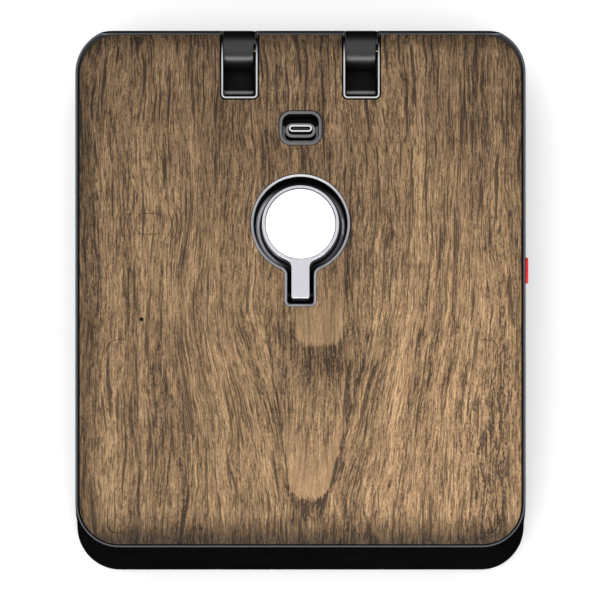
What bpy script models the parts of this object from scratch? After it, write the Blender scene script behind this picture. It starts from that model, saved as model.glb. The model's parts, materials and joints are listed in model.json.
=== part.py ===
"""Desktop charging box: a walnut-faced lid on two rear hinges over a felt-lined storage base.

The lid carries a phone coil, an earbud coil, an upright USB-C plug and a watch charger that flips up.
The origin is the centre of the footprint on the desk, +X is right, +Y is the hinge side, +Z is up.
All dimensions are in millimetres; make_mesh turns them into Blender's metres.
"""
import math

import bmesh
import bpy
from mathutils import Vector

MM = 0.001

# ---------------------------------------------------------------- driving dimensions
WIDTH = 163.8
DEPTH = 188.9
HEIGHT = 44.0
CORNER_RADIUS = 16.0
CORNER_POWER = 2.0
CORNER_STEPS = 7
GAP = 0.3

HALF_WIDTH = WIDTH / 2
FRONT_Y = -DEPTH / 2
REAR_Y = DEPTH / 2

# Heights, from the desk up
FOOT_HEIGHT = 1.5
PLATE_TOP = 3.1
CAVITY_TOP = 8.6
TRAY_FLOOR = 10.6
BASE_TOP = 29.1
LID_BOTTOM = 29.5
COVER_TOP = 31.1
WEB_BOTTOM = 37.6
WEB_TOP = 39.3
RIM_TOP = 41.3
WOOD_EDGE_TOP = 41.4

# Base case
BASE_INSET = 0.25
BASE_EDGE = 1.4
TRAY_INSET = 4.2
TRAY_REAR = 63.0
CAVITY_INSET = 5.2
HINGE_ROOM_FRONT = 67.0
HINGE_ROOM_TOP = 25.1
HINGE_ROOM_HALF = 66.0

# Lid frame, rim and pillowed wood
RIM_ROUND = 0.5
WOOD_RECESS = 0.9
WOOD_INSET = 1.55
WOOD_FRONT_INSET = 1.15
WOOD_CORNER = 14.3
WOOD_REAR = 92.1
PILLOW_WIDTH = 9.5
PILLOW_POWER = 2.6
LID_CAVITY_INSET = 2.7
LID_CAVITY_REAR = 66.0

# Hinges: the rear edge of the lid is a half round about the hinge axis
HINGE_RADIUS = 7.1
AXIS_Y = REAR_Y - HINGE_RADIUS
AXIS_Z = LID_BOTTOM + HINGE_RADIUS
HINGE_X = 22.2
NOTCH_HALF = 6.0
NOTCH_FRONT = 68.95
TRIM_WALL = 0.75
BARREL_HALF = 5.5
BARREL_SHIFT = -0.35
PIN_RADIUS = 1.3
PIN_REACH = 6.0
ARM_LEAF_TOP = 33.0
ARM_LIP_FRONT = 70.05
ARM_LIP_REAR = 72.3
ARM_LIP_TOP = 40.6

# Watch charger and its keyhole well
WATCH_Y = 22.8
WELL_RADIUS = 18.0
WELL_NECK = 5.75
WELL_END = -7.3
WELL_WALL = 0.8
WELL_FLOOR = 38.4
WELL_BOTTOM = 37.3
ARM_RADIUS = 14.1
ARM_NECK = 3.32
ARM_END = -4.35
ARM_BOTTOM = 39.3
ARM_TOP = 43.9
DISC_RADIUS = 12.7
FLIP_Y = -2.6
FLIP_Z = 41.4
FLIP_PIN_RADIUS = 0.75

# USB-C plug in its well
USB_Y = 57.6
USB_HALF_X = 7.75
USB_HALF_Y = 6.2
USB_CORNER = 4.2
USB_WALL = 1.1
USB_BOTTOM = 34.2
USB_FLOOR = 35.3
BOOT_TOP = 40.3
PLUG_TOP = 43.2

# Side button
BUTTON_Y = 7.7
BUTTON_Z = 35.2
BUTTON_HALF_LENGTH = 4.65
BUTTON_HALF_HEIGHT = 1.7
BUTTON_PROUD = 1.05

# Charging coils under the wood
PHONE_Y = -54.9
EARBUD_X = -55.0
EARBUD_Y = 22.7
LIGHT_X = -57.8
LIGHT_Y = -12.1
LIGHT_HOLE = 0.75

FOOT_X = 66.0
FOOT_Y = 78.0
BOTTOM_SCREW_X = 69.0
BOTTOM_SCREW_Y = 62.0
COVER_SCREW_X = 72.0
COVER_SCREW_FRONT = -84.0
COVER_SCREW_REAR = 58.5
ARM_SCREW_Y = (74.0, 80.0)
MAGNET_X = 40.0
LEAD_Y = 78.0
INLET_Z = 6.4


# ---------------------------------------------------------------- scene and materials
def clear_scene():
    """Remove whatever the file holds."""
    for item in list(bpy.data.objects):
        bpy.data.objects.remove(item, do_unlink=True)


def make_material(name, colour, roughness, metallic):
    """A Principled material with one colour."""
    material = bpy.data.materials.new(name)
    material.use_nodes = True
    shader = material.node_tree.nodes["Principled BSDF"]
    shader.inputs["Base Color"].default_value = (*colour, 1.0)
    shader.inputs["Roughness"].default_value = roughness
    shader.inputs["Metallic"].default_value = metallic
    material.diffuse_color = (*colour, 1.0)
    return material


FINISHES = {
    "black_anodised": ((0.012, 0.012, 0.013), 0.38, 0.6),
    "bright_aluminium": ((0.62, 0.62, 0.64), 0.25, 1.0),
    "walnut": ((0.27, 0.185, 0.12), 0.55, 0.0),
    "brass": ((0.62, 0.42, 0.28), 0.3, 1.0),
    "steel": ((0.45, 0.45, 0.46), 0.35, 1.0),
    "white_polymer": ((0.88, 0.88, 0.89), 0.35, 0.0),
    "grey_polymer": ((0.13, 0.13, 0.135), 0.45, 0.0),
    "black_polymer": ((0.015, 0.015, 0.016), 0.5, 0.0),
    "red_polymer": ((0.8, 0.02, 0.02), 0.4, 0.0),
    "clear_polymer": ((0.7, 0.72, 0.74), 0.15, 0.0),
    "rubber": ((0.02, 0.02, 0.02), 0.8, 0.0),
    "felt": ((0.09, 0.09, 0.1), 0.95, 0.0),
    "circuit_board": ((0.01, 0.06, 0.03), 0.4, 0.0),
    "copper": ((0.7, 0.3, 0.17), 0.35, 1.0),
    "ferrite": ((0.06, 0.06, 0.065), 0.7, 0.0),
}


# ---------------------------------------------------------------- mesh helpers
def make_mesh(name, vertices, faces, pivot=(0.0, 0.0, 0.0)):
    """A mesh in metres from millimetre vertices, with its origin at the pivot."""
    mesh = bpy.data.meshes.new(name)
    offset = Vector(pivot)
    mesh.from_pydata([(Vector(v) - offset) * MM for v in vertices], [], faces)
    work = bmesh.new()
    work.from_mesh(mesh)
    bmesh.ops.recalc_face_normals(work, faces=work.faces)
    work.to_mesh(mesh)
    work.free()
    return mesh


class Body:
    """A rigid group of pieces; a moving one hangs from an empty on its joint axis."""

    def __init__(self, name, pivot=(0.0, 0.0, 0.0), parent=None):
        self.pivot = pivot
        self.empty = None
        if parent is not None or any(pivot):
            self.empty = bpy.data.objects.new(name, None)
            bpy.context.scene.collection.objects.link(self.empty)
            origin = Vector(pivot)
            if parent is not None and parent.empty is not None:
                self.empty.parent = parent.empty
                origin = origin - Vector(parent.pivot)
            self.empty.location = origin * MM

    def add(self, name, shape, finish, smooth_angle=40.0):
        """Make the piece called name from (vertices, faces) in this body."""
        vertices, faces = shape
        mesh = make_mesh(name, vertices, faces, self.pivot)
        mesh.materials.append(MATERIALS[finish])
        if smooth_angle:
            mesh.shade_smooth()
            mesh.set_sharp_from_angle(angle=math.radians(smooth_angle))
        piece = bpy.data.objects.new(name, mesh)
        bpy.context.scene.collection.objects.link(piece)
        piece.parent = self.empty
        return piece


def combine(piece, operation, shapes):
    """Cut, add or keep the given shapes on a piece, each with an exact Boolean."""
    for vertices, faces in shapes:
        label = f"{piece.name}_{operation.lower()}_{len(piece.modifiers)}"
        cutter = bpy.data.objects.new(label, make_mesh(label, vertices, faces))
        bpy.context.scene.collection.objects.link(cutter)
        cutter.hide_render = True
        cutter.display_type = "WIRE"
        modifier = piece.modifiers.new(label, "BOOLEAN")
        modifier.operation = operation
        modifier.solver = "EXACT"
        modifier.object = cutter


def cut(piece, *shapes):
    """Subtract shapes from a piece."""
    combine(piece, "DIFFERENCE", shapes)


def weld(piece, *shapes):
    """Join shapes onto a piece."""
    combine(piece, "UNION", shapes)


def keep(piece, *shapes):
    """Keep only the part of a piece inside the shapes."""
    combine(piece, "INTERSECT", shapes)


def loft(loops):
    """A closed solid through stacked loops that all have the same number of points."""
    count = len(loops[0])
    vertices = [point for loop in loops for point in loop]
    faces = [tuple(range(count))[::-1]]
    for level in range(len(loops) - 1):
        low = level * count
        high = low + count
        for i in range(count):
            j = (i + 1) % count
            faces.append((low + i, low + j, high + j, high + i))
    top = (len(loops) - 1) * count
    faces.append(tuple(range(top, top + count)))
    return vertices, faces


def prism(outline, z_low, z_high):
    """An outline in X and Y, extruded upwards."""
    return loft([[(x, y, z) for x, y in outline] for z in (z_low, z_high)])


def side_prism(profile, x_low, x_high):
    """A profile in Y and Z, extruded along X."""
    return loft([[(x, y, z) for y, z in profile] for x in (x_low, x_high)])


def rear_prism(profile, y_low, y_high):
    """A profile in X and Z, extruded along Y."""
    return loft([[(x, y, z) for x, z in profile] for y in (y_low, y_high)])


def block(low, high):
    """A box from its lowest and highest corners."""
    corners = [(low[0], low[1]), (high[0], low[1]), (high[0], high[1]), (low[0], high[1])]
    return prism(corners, low[2], high[2])


def arc(centre, radius, start, end, steps, power=2.0):
    """Points of an arc in degrees; a power over 2 makes it a squarer superellipse."""
    points = []
    for i in range(steps + 1):
        angle = math.radians(start + (end - start) * i / steps)
        c, s = math.cos(angle), math.sin(angle)
        x = math.copysign(abs(c) ** (2 / power), c)
        y = math.copysign(abs(s) ** (2 / power), s)
        points.append((centre[0] + radius * x, centre[1] + radius * y))
    return points


def rounded_rectangle(x_low, x_high, y_low, y_high, radius, steps=4, power=2.0):
    """A rectangle outline with round corners, counter-clockwise."""
    outline = []
    outline += arc((x_high - radius, y_low + radius), radius, -90, 0, steps, power)
    outline += arc((x_high - radius, y_high - radius), radius, 0, 90, steps, power)
    outline += arc((x_low + radius, y_high - radius), radius, 90, 180, steps, power)
    outline += arc((x_low + radius, y_low + radius), radius, 180, 270, steps, power)
    return outline


def case_outline(inset, rear=REAR_Y):
    """The outline of the case, moved inwards; rear is where its hinge side ends before the inset."""
    return rounded_rectangle(
        -HALF_WIDTH + inset, HALF_WIDTH - inset, FRONT_Y + inset, rear - inset,
        max(CORNER_RADIUS - inset, 2.0), CORNER_STEPS, CORNER_POWER)


def wood_outline(distance):
    """The outline of the wood at a distance in from its edge; its front gap is the narrowest."""
    return rounded_rectangle(
        -HALF_WIDTH + WOOD_INSET + distance, HALF_WIDTH - WOOD_INSET - distance,
        FRONT_Y + WOOD_FRONT_INSET + distance, WOOD_REAR - distance,
        max(WOOD_CORNER - distance, 2.0), CORNER_STEPS, CORNER_POWER)


def circle(x, y, radius, steps=24):
    """A full circle outline."""
    return arc((x, y), radius, 0, 360 - 360 / steps, steps - 1)


def keyhole(radius, neck, end, fillet, corner, steps=32):
    """A circle about the watch centre with a filleted neck that runs forward to end."""
    fillet_x = neck + fillet
    fillet_y = -math.sqrt((radius + fillet) ** 2 - fillet_x ** 2)
    meet = math.degrees(math.atan2(fillet_y, fillet_x))
    outline = arc((0.0, WATCH_Y), radius, meet, 180 - meet, steps)
    outline += arc((-fillet_x, WATCH_Y + fillet_y), fillet, -meet, 0, 4)
    outline += arc((-neck + corner, end + corner), corner, 180, 270, 3)
    outline += arc((neck - corner, end + corner), corner, 270, 360, 3)
    outline += arc((fillet_x, WATCH_Y + fillet_y), fillet, 180, 180 + meet, 4)
    return outline[:-1]


def hexagon_radius(radius, angle):
    """Distance to the side of a hexagon with the given corner radius."""
    across = (angle % math.radians(60)) - math.radians(30)
    return radius * math.cos(math.radians(30)) / math.cos(across)


def turned(centre, profile, steps=24, hexagons=()):
    """A solid turned about a vertical axis; the profile lists (radius, height) from bottom to top.

    The rings whose index is in hexagons are six-sided, as in a screw's socket.
    """
    x0, y0 = centre
    loops = []
    for index, (radius, z) in enumerate(profile):
        ring = []
        for i in range(steps):
            angle = 2 * math.pi * i / steps
            r = hexagon_radius(radius, angle) if index in hexagons else radius
            ring.append((x0 + r * math.cos(angle), y0 + r * math.sin(angle), z))
        loops.append(ring)
    return loft(loops)


def ring(centre, inner, outer, z_low, z_high, steps=24):
    """A flat washer shape."""
    inside = circle(centre[0], centre[1], inner, steps)
    outside = circle(centre[0], centre[1], outer, steps)
    loops = [inside, outside, outside, inside]
    heights = [z_low, z_low, z_high, z_high]
    vertices = [(x, y, z) for loop, z in zip(loops, heights) for x, y in loop]
    faces = []
    for level in range(4):
        low = level * steps
        high = ((level + 1) % 4) * steps
        for i in range(steps):
            j = (i + 1) % steps
            faces.append((low + i, low + j, high + j, high + i))
    return vertices, faces


def rod(x_low, x_high, y, z, radius, steps=16):
    """A round bar along X."""
    return side_prism(circle(y, z, radius, steps), x_low, x_high)


def tube_path(points, radius, steps=8):
    """A round lead through the given points, mitred at its bends."""
    path = [Vector(p) for p in points]
    loops = []
    for index, point in enumerate(path):
        before = path[max(index - 1, 0)]
        after = path[min(index + 1, len(path) - 1)]
        along_in = (point - before).normalized() if index > 0 else (after - point).normalized()
        along_out = (after - point).normalized() if index < len(path) - 1 else along_in
        direction = (along_in + along_out).normalized()
        side = Vector((1.0, 0.0, 0.0))
        across = direction.cross(side).normalized()
        stretch = 1.0 / max(direction.dot(along_in), 0.3)
        loop = []
        for i in range(steps):
            angle = 2 * math.pi * i / steps
            offset = side * math.cos(angle) + across * (math.sin(angle) * stretch)
            loop.append(tuple(point + offset * radius))
        loops.append(loop)
    return loft(loops)


# ---------------------------------------------------------------- shapes shared by several pieces
def pillow_height(distance):
    """Height of the wood's top at a distance in from its edge."""
    if distance >= PILLOW_WIDTH:
        return HEIGHT
    fall = (1.0 - max(distance, 0.0) / PILLOW_WIDTH) ** PILLOW_POWER
    return HEIGHT - (HEIGHT - WOOD_EDGE_TOP) * fall


def lid_side_profile(y_front):
    """The lid's section at the hinge side, from y_front back: flat bottom, half round, pillowed top."""
    edge_angle = math.degrees(math.asin((RIM_TOP - AXIS_Z) / HINGE_RADIUS))
    profile = [(y_front, LID_BOTTOM)]
    profile += arc((AXIS_Y, AXIS_Z), HINGE_RADIUS, -90, edge_angle, 14)
    for step in range(7):
        distance = PILLOW_WIDTH * step / 6
        profile.append((WOOD_REAR - distance, pillow_height(distance)))
    profile.append((y_front, HEIGHT))
    return profile


def half_round_limit():
    """Everything that can turn about the hinge axis without touching the base."""
    profile = [(FRONT_Y - 5, LID_BOTTOM - 5), (AXIS_Y, LID_BOTTOM - 5)]
    profile += arc((AXIS_Y, AXIS_Z), HINGE_RADIUS, -90, 90, 24)
    profile += [(AXIS_Y, HEIGHT + 5), (FRONT_Y - 5, HEIGHT + 5)]
    return side_prism(profile, -HALF_WIDTH - 5, HALF_WIDTH + 5)


def notch_outline(x, half, front, corner, rear=REAR_Y + 5):
    """A slot that is open at the rear, with round front corners."""
    outline = arc((x - half + corner, front + corner), corner, 180, 270, 4)
    outline += arc((x + half - corner, front + corner), corner, 270, 360, 4)
    return outline + [(x + half, rear), (x - half, rear)]


def usb_outline(grow):
    """The USB well's outline, grown or shrunk."""
    return rounded_rectangle(
        -USB_HALF_X - grow, USB_HALF_X + grow, USB_Y - USB_HALF_Y - grow, USB_Y + USB_HALF_Y + grow,
        USB_CORNER + grow, 5)


def stadium(x, y, half_length, half_width, steps=6):
    """An outline with straight sides along X and half-round ends."""
    flat = half_length - half_width
    outline = arc((x + flat, y), half_width, -90, 90, steps)
    return outline + arc((x - flat, y), half_width, 90, 270, steps)


def button_outline(grow, grow_ends=0.0):
    """The side button's outline in Y and Z, grown or shrunk, with extra growth at its ends."""
    return stadium(BUTTON_Y, BUTTON_Z, BUTTON_HALF_LENGTH + grow + grow_ends, BUTTON_HALF_HEIGHT + grow, 5)


def hinge_sides():
    """The two hinges, as (suffix, X of the notch centre)."""
    return (("left", -HINGE_X), ("right", HINGE_X))


def four_corners(x, y_low, y_high):
    """Names and places of the four corners of a rectangle about X = 0."""
    return (("front_left", -x, y_low), ("front_right", x, y_low),
            ("rear_left", -x, y_high), ("rear_right", x, y_high))


def upward_screw(x, y, z_face, head_radius, head_height, shank_radius, length):
    """A screw driven upwards: its socket is in its lower face."""
    socket = head_radius * 0.5
    z_neck = z_face + head_height
    profile = [(socket, z_face + head_height * 0.6), (socket, z_face),
               (head_radius, z_face), (head_radius, z_neck),
               (shank_radius, z_neck), (shank_radius, z_face + length)]
    return turned((x, y), profile, 12, hexagons=(0, 1))


# ---------------------------------------------------------------- base
def build_base_shell(base):
    """The case: an open tray above, a shallow electronics cavity below, a hinge room at the rear."""
    low, high = FOOT_HEIGHT, BASE_TOP
    shell = base.add("base_shell", loft([
        [(x, y, low) for x, y in case_outline(BASE_INSET + BASE_EDGE)],
        [(x, y, low + 0.45 * BASE_EDGE) for x, y in case_outline(BASE_INSET + 0.45 * BASE_EDGE)],
        [(x, y, low + 1.3 * BASE_EDGE) for x, y in case_outline(BASE_INSET)],
        [(x, y, high - 0.3) for x, y in case_outline(BASE_INSET)],
        [(x, y, high) for x, y in case_outline(BASE_INSET + 0.3)],
    ]), "black_anodised")
    tray = rounded_rectangle(
        -HALF_WIDTH + TRAY_INSET, HALF_WIDTH - TRAY_INSET, FRONT_Y + TRAY_INSET, TRAY_REAR,
        CORNER_RADIUS - TRAY_INSET, 5, CORNER_POWER)
    cut(shell, prism(tray, TRAY_FLOOR, BASE_TOP + 1))
    cut(shell, prism(case_outline(CAVITY_INSET), FOOT_HEIGHT - 1, CAVITY_TOP))
    cut(shell, block((-HINGE_ROOM_HALF, HINGE_ROOM_FRONT, CAVITY_TOP - 1),
                     (HINGE_ROOM_HALF, REAR_Y - CAVITY_INSET, HINGE_ROOM_TOP)))
    for _, x, y in four_corners(BOTTOM_SCREW_X, -BOTTOM_SCREW_Y, BOTTOM_SCREW_Y):
        weld(shell, turned((x, y), [(3.6, PLATE_TOP + GAP), (3.6, CAVITY_TOP + 0.5)], 16))
        cut(shell, turned((x, y), [(1.5, PLATE_TOP - 1), (1.5, CAVITY_TOP - 0.6)], 12))
    for _, x in hinge_sides():
        for y in ARM_SCREW_Y:
            cut(shell, turned((x + BARREL_SHIFT, y), [(1.6, HINGE_ROOM_TOP - 1), (1.6, BASE_TOP + 1)], 12))
    cut(shell, turned((0.0, LEAD_Y), [(1.9, HINGE_ROOM_TOP - 1), (1.9, BASE_TOP + 1)], 12))
    cut(shell, rear_prism(stadium(0.0, INLET_Z, 4.8, 1.9, 5), REAR_Y - CAVITY_INSET - 1, REAR_Y + 1))
    for x in (-MAGNET_X, MAGNET_X):
        cut(shell, block((x - 6.3, FRONT_Y + 0.9, BASE_TOP - 5.0), (x + 6.3, FRONT_Y + 3.4, BASE_TOP + 1)))
        bumper_x = math.copysign(abs(x) + 22.0, x)
        cut(shell, turned((bumper_x, FRONT_Y + 2.2), [(1.6, BASE_TOP - 1.2), (1.6, BASE_TOP + 1)], 16))
    return shell


def build_base_bottom(base):
    """Bottom plate, its screws and the feet."""
    plate = base.add("bottom_plate", prism(case_outline(CAVITY_INSET + GAP), FOOT_HEIGHT, PLATE_TOP),
                     "black_polymer")
    for label, x, y in four_corners(BOTTOM_SCREW_X, -BOTTOM_SCREW_Y, BOTTOM_SCREW_Y):
        cut(plate, turned((x, y), [(3.0, FOOT_HEIGHT - 1), (3.0, FOOT_HEIGHT + 1.0)], 16),
            turned((x, y), [(1.5, FOOT_HEIGHT), (1.5, PLATE_TOP + 1)], 12))
        base.add(f"bottom_screw_{label}",
                 upward_screw(x, y, FOOT_HEIGHT + 0.1, 2.6, 0.7, 1.1, 5.6), "steel")
    for label, x, y in four_corners(FOOT_X, -FOOT_Y, FOOT_Y):
        cut(plate, turned((x, y), [(7.3, FOOT_HEIGHT - 1), (7.3, FOOT_HEIGHT + 0.7)], 24))
        base.add(f"foot_{label}", turned((x, y), [(6.4, 0.0), (7.0, 0.5), (7.0, FOOT_HEIGHT + 0.4)], 24),
                 "rubber")


def build_tray_liner(base):
    """A felt tray that lines the storage compartment."""
    edge = TRAY_INSET + GAP
    outer = rounded_rectangle(-HALF_WIDTH + edge, HALF_WIDTH - edge, FRONT_Y + edge, TRAY_REAR - GAP,
                              CORNER_RADIUS - edge, 5, CORNER_POWER)
    liner = base.add("felt_liner", prism(outer, TRAY_FLOOR + GAP, BASE_TOP - 2.0), "felt")
    edge += 1.2
    inner = rounded_rectangle(-HALF_WIDTH + edge, HALF_WIDTH - edge, FRONT_Y + edge, TRAY_REAR - GAP - 1.2,
                              CORNER_RADIUS - edge, 5, CORNER_POWER)
    cut(liner, prism(inner, TRAY_FLOOR + GAP + 1.2, BASE_TOP))


def build_base_power(base):
    """Ballast, power board with its inlet, and the lead up to the hinge side."""
    base.add("ballast_plate", prism(rounded_rectangle(-55, 55, -70, 20, 4), 4.2, 7.4), "steel")
    board = base.add("power_board", block((-24, 44, 3.6), (24, 86, 4.7)), "circuit_board")
    weld(board, block((-18, 50, 4.5), (-8, 60, 6.6)), block((2, 52, 4.5), (10, 58, 6.2)),
         block((-20, 68, 4.5), (-12, 82, 9.5)), block((12, 70, 4.5), (20, 80, 8.5)))
    port_front = REAR_Y - 8.0
    port = base.add("power_inlet", rear_prism(stadium(0.0, INLET_Z, 4.5, 1.6, 5), port_front, REAR_Y - 0.5),
                    "steel")
    cut(port, rear_prism(stadium(0.0, INLET_Z, 4.1, 1.2, 5), port_front + 0.8, REAR_Y + 1))
    weld(port, block((-3.3, port_front + 0.4, INLET_Z - 0.35), (3.3, REAR_Y - 1.6, INLET_Z + 0.35)))
    base.add("base_lead", tube_path([(0, 72, 6.2), (0, LEAD_Y - 1.5, 6.2), (0, LEAD_Y, 8.0),
                                     (0, LEAD_Y, BASE_TOP - 0.4)], 1.3), "black_polymer")


def build_base_catches(base):
    """Magnets and bumpers in the front edge."""
    for side, x in (("left", -MAGNET_X), ("right", MAGNET_X)):
        base.add(f"base_magnet_{side}",
                 block((x - 6.0, FRONT_Y + 1.2, BASE_TOP - 4.7), (x + 6.0, FRONT_Y + 3.1, BASE_TOP - 0.2)),
                 "steel", smooth_angle=0)
        bumper_x = math.copysign(abs(x) + 22.0, x)
        base.add(f"lid_bumper_{side}",
                 turned((bumper_x, FRONT_Y + 2.2), [(1.3, BASE_TOP - 0.9), (1.3, BASE_TOP + 0.1),
                                                    (0.9, BASE_TOP + 0.2)], 16), "rubber")


def hinge_arm_profile():
    """Section of a hinge arm: leaf on the base, turned-up front lip, barrel at the rear."""
    leaf_angle = math.degrees(math.asin((ARM_LEAF_TOP - AXIS_Z) / HINGE_RADIUS))
    lip = ARM_LIP_REAR - ARM_LIP_FRONT
    profile = [(ARM_LIP_FRONT, LID_BOTTOM)]
    profile += arc((AXIS_Y, AXIS_Z), HINGE_RADIUS, -90, 180 - leaf_angle, 34)
    profile += arc((ARM_LIP_REAR + 1.5, ARM_LEAF_TOP + 1.5), 1.5, 270, 180, 4)
    profile += arc((ARM_LIP_REAR - 2.0, ARM_LIP_TOP - 2.0), 2.0, 0, 90, 6)
    profile.append((ARM_LIP_FRONT, ARM_LIP_TOP - 0.1 * lip))
    return profile


def build_hinge_arms(base):
    """Arms, one for each notch, with the screws that hold them down."""
    for side, notch_x in hinge_sides():
        x = notch_x + BARREL_SHIFT
        arm = base.add(f"hinge_arm_{side}", side_prism(hinge_arm_profile(), x - BARREL_HALF, x + BARREL_HALF),
                       "black_anodised", smooth_angle=30.0)
        cut(arm, rod(x - 8, x + 8, AXIS_Y, AXIS_Z, PIN_RADIUS + GAP))
        for label, y in zip(("front", "rear"), ARM_SCREW_Y):
            cut(arm, turned((x, y), [(1.4, LID_BOTTOM - 1), (1.4, ARM_LEAF_TOP - 0.8)], 12))
            base.add(f"arm_screw_{side}_{label}",
                     upward_screw(x, y, HINGE_ROOM_TOP - 1.9, 2.6, 1.6, 1.1, 8.4), "steel")


# ---------------------------------------------------------------- lid
def cavity_outline(shrink):
    """The lid's lower cavity, also the outline of the cover that closes it."""
    inset = LID_CAVITY_INSET + shrink
    return rounded_rectangle(-HALF_WIDTH + inset, HALF_WIDTH - inset, FRONT_Y + inset,
                             LID_CAVITY_REAR - shrink, CORNER_RADIUS - inset, 5, CORNER_POWER)


def build_lid_frame(lid):
    """Aluminium frame: rim, web under the wood, hinge block at the rear."""
    frame = lid.add("lid_frame", loft([
        [(x, y, LID_BOTTOM) for x, y in case_outline(0.3)],
        [(x, y, LID_BOTTOM + 0.3) for x, y in case_outline(0.0)],
        [(x, y, RIM_TOP - 0.5) for x, y in case_outline(0.0)],
        [(x, y, RIM_TOP - 0.15) for x, y in case_outline(0.15)],
        [(x, y, RIM_TOP) for x, y in case_outline(RIM_ROUND)],
    ]), "black_anodised")
    keep(frame, half_round_limit())
    cut(frame, prism(case_outline(WOOD_RECESS, WOOD_REAR + WOOD_RECESS + 0.15), WEB_TOP, HEIGHT + 2))
    cut(frame, prism(cavity_outline(0.0), LID_BOTTOM - 1, WEB_BOTTOM))
    for _, x, y in four_corners(COVER_SCREW_X, COVER_SCREW_FRONT, COVER_SCREW_REAR):
        weld(frame, turned((x, y), [(3.4, COVER_TOP + GAP), (3.4, WEB_BOTTOM + 0.5)], 16))
        cut(frame, turned((x, y), [(1.4, COVER_TOP - 1), (1.4, WEB_BOTTOM - 0.8)], 12))
    for _, x in hinge_sides():
        outer = NOTCH_HALF + TRIM_WALL + GAP
        slot = notch_outline(x, outer, NOTCH_FRONT - TRIM_WALL - GAP, 2.0)
        cut(frame, prism(slot, LID_BOTTOM - 2, HEIGHT + 2))
        cut(frame, rod(x - NOTCH_HALF - PIN_REACH - 1, x + NOTCH_HALF + PIN_REACH + 1,
                       AXIS_Y, AXIS_Z, PIN_RADIUS + GAP))
    cut(frame, prism(usb_outline(GAP), WEB_BOTTOM - 1, WEB_TOP + 1))
    cut(frame, prism(keyhole(WELL_RADIUS + GAP, WELL_NECK + GAP, WELL_END - GAP, 2.0, 1.4),
                     WEB_BOTTOM - 1, WEB_TOP + 1))
    cut(frame, turned((LIGHT_X, LIGHT_Y), [(1.3, WEB_BOTTOM - 1), (1.3, WEB_TOP + 1)], 12))
    cut(frame, side_prism(button_outline(GAP), HALF_WIDTH - LID_CAVITY_INSET - 1, HALF_WIDTH + 1))
    cut(frame, block((-1.7, LID_CAVITY_REAR - 1, LID_BOTTOM - 1), (1.7, LEAD_Y + 2.0, LID_BOTTOM + 4.2)))


def build_wood_panel(lid):
    """Walnut panel: flat in the middle, rolled down at every edge."""
    steps = 7
    loops = [[(x, y, WEB_TOP + GAP) for x, y in wood_outline(0.0)]]
    for step in range(steps + 1):
        distance = PILLOW_WIDTH * (step / steps) ** 1.3
        loops.append([(x, y, pillow_height(distance)) for x, y in wood_outline(distance)])
    panel = lid.add("wood_panel", loft(loops), "walnut")
    low = WEB_TOP - 1
    for _, x in hinge_sides():
        outer = NOTCH_HALF + TRIM_WALL + 0.4
        cut(panel, prism(notch_outline(x, outer, NOTCH_FRONT - TRIM_WALL - 0.4, 2.1), low, HEIGHT + 2))
    cut(panel, prism(usb_outline(0.2), low, HEIGHT + 2))
    cut(panel, prism(keyhole(WELL_RADIUS + 0.2, WELL_NECK + 0.2, WELL_END - 0.2, 2.0, 1.4), low, HEIGHT + 2))
    cut(panel, turned((LIGHT_X, LIGHT_Y), [(LIGHT_HOLE, low), (LIGHT_HOLE, HEIGHT + 1)], 12))


def build_notch_trims(lid):
    """U-shaped liners of the hinge notches, with a bright top edge."""
    for side, x in hinge_sides():
        outer = NOTCH_HALF + TRIM_WALL
        front = NOTCH_FRONT - TRIM_WALL
        trim = lid.add(f"notch_trim_{side}",
                       side_prism(lid_side_profile(front - 1), x - outer, x + outer), "bright_aluminium")
        keep(trim, prism(notch_outline(x, outer, front, 1.7), LID_BOTTOM - 2, HEIGHT + 2))
        clear = notch_outline(x, NOTCH_HALF, NOTCH_FRONT, 1.0, REAR_Y + 8)
        cut(trim, prism(clear, LID_BOTTOM - 3, HEIGHT + 3))
        cut(trim, rod(x - 9, x + 9, AXIS_Y, AXIS_Z, PIN_RADIUS + GAP))


def build_hinge_pins(lid):
    """Brass pins through the barrels into the hinge block."""
    for side, x in hinge_sides():
        reach = NOTCH_HALF + PIN_REACH
        lid.add(f"hinge_pin_{side}", rod(x - reach, x + reach, AXIS_Y, AXIS_Z, PIN_RADIUS), "brass")


def build_lid_cover(lid):
    """Cover under the lid, with its screws and the two catch magnets above it."""
    cover = lid.add("lid_cover", prism(cavity_outline(GAP), LID_BOTTOM, COVER_TOP), "black_polymer")
    for label, x, y in four_corners(COVER_SCREW_X, COVER_SCREW_FRONT, COVER_SCREW_REAR):
        cut(cover, turned((x, y), [(3.0, LID_BOTTOM - 1), (3.0, LID_BOTTOM + 1.0)], 16),
            turned((x, y), [(1.5, LID_BOTTOM), (1.5, COVER_TOP + 1)], 12))
        lid.add(f"cover_screw_{label}", upward_screw(x, y, LID_BOTTOM + 0.1, 2.6, 0.7, 1.1, 6.0), "steel")
    wall = FRONT_Y + LID_CAVITY_INSET + GAP
    for side, x in (("left", -MAGNET_X), ("right", MAGNET_X)):
        lid.add(f"lid_magnet_{side}",
                block((x - 6.0, wall, COVER_TOP + GAP), (x + 6.0, wall + 2.4, COVER_TOP + 4.3)),
                "steel", smooth_angle=0)


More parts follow.
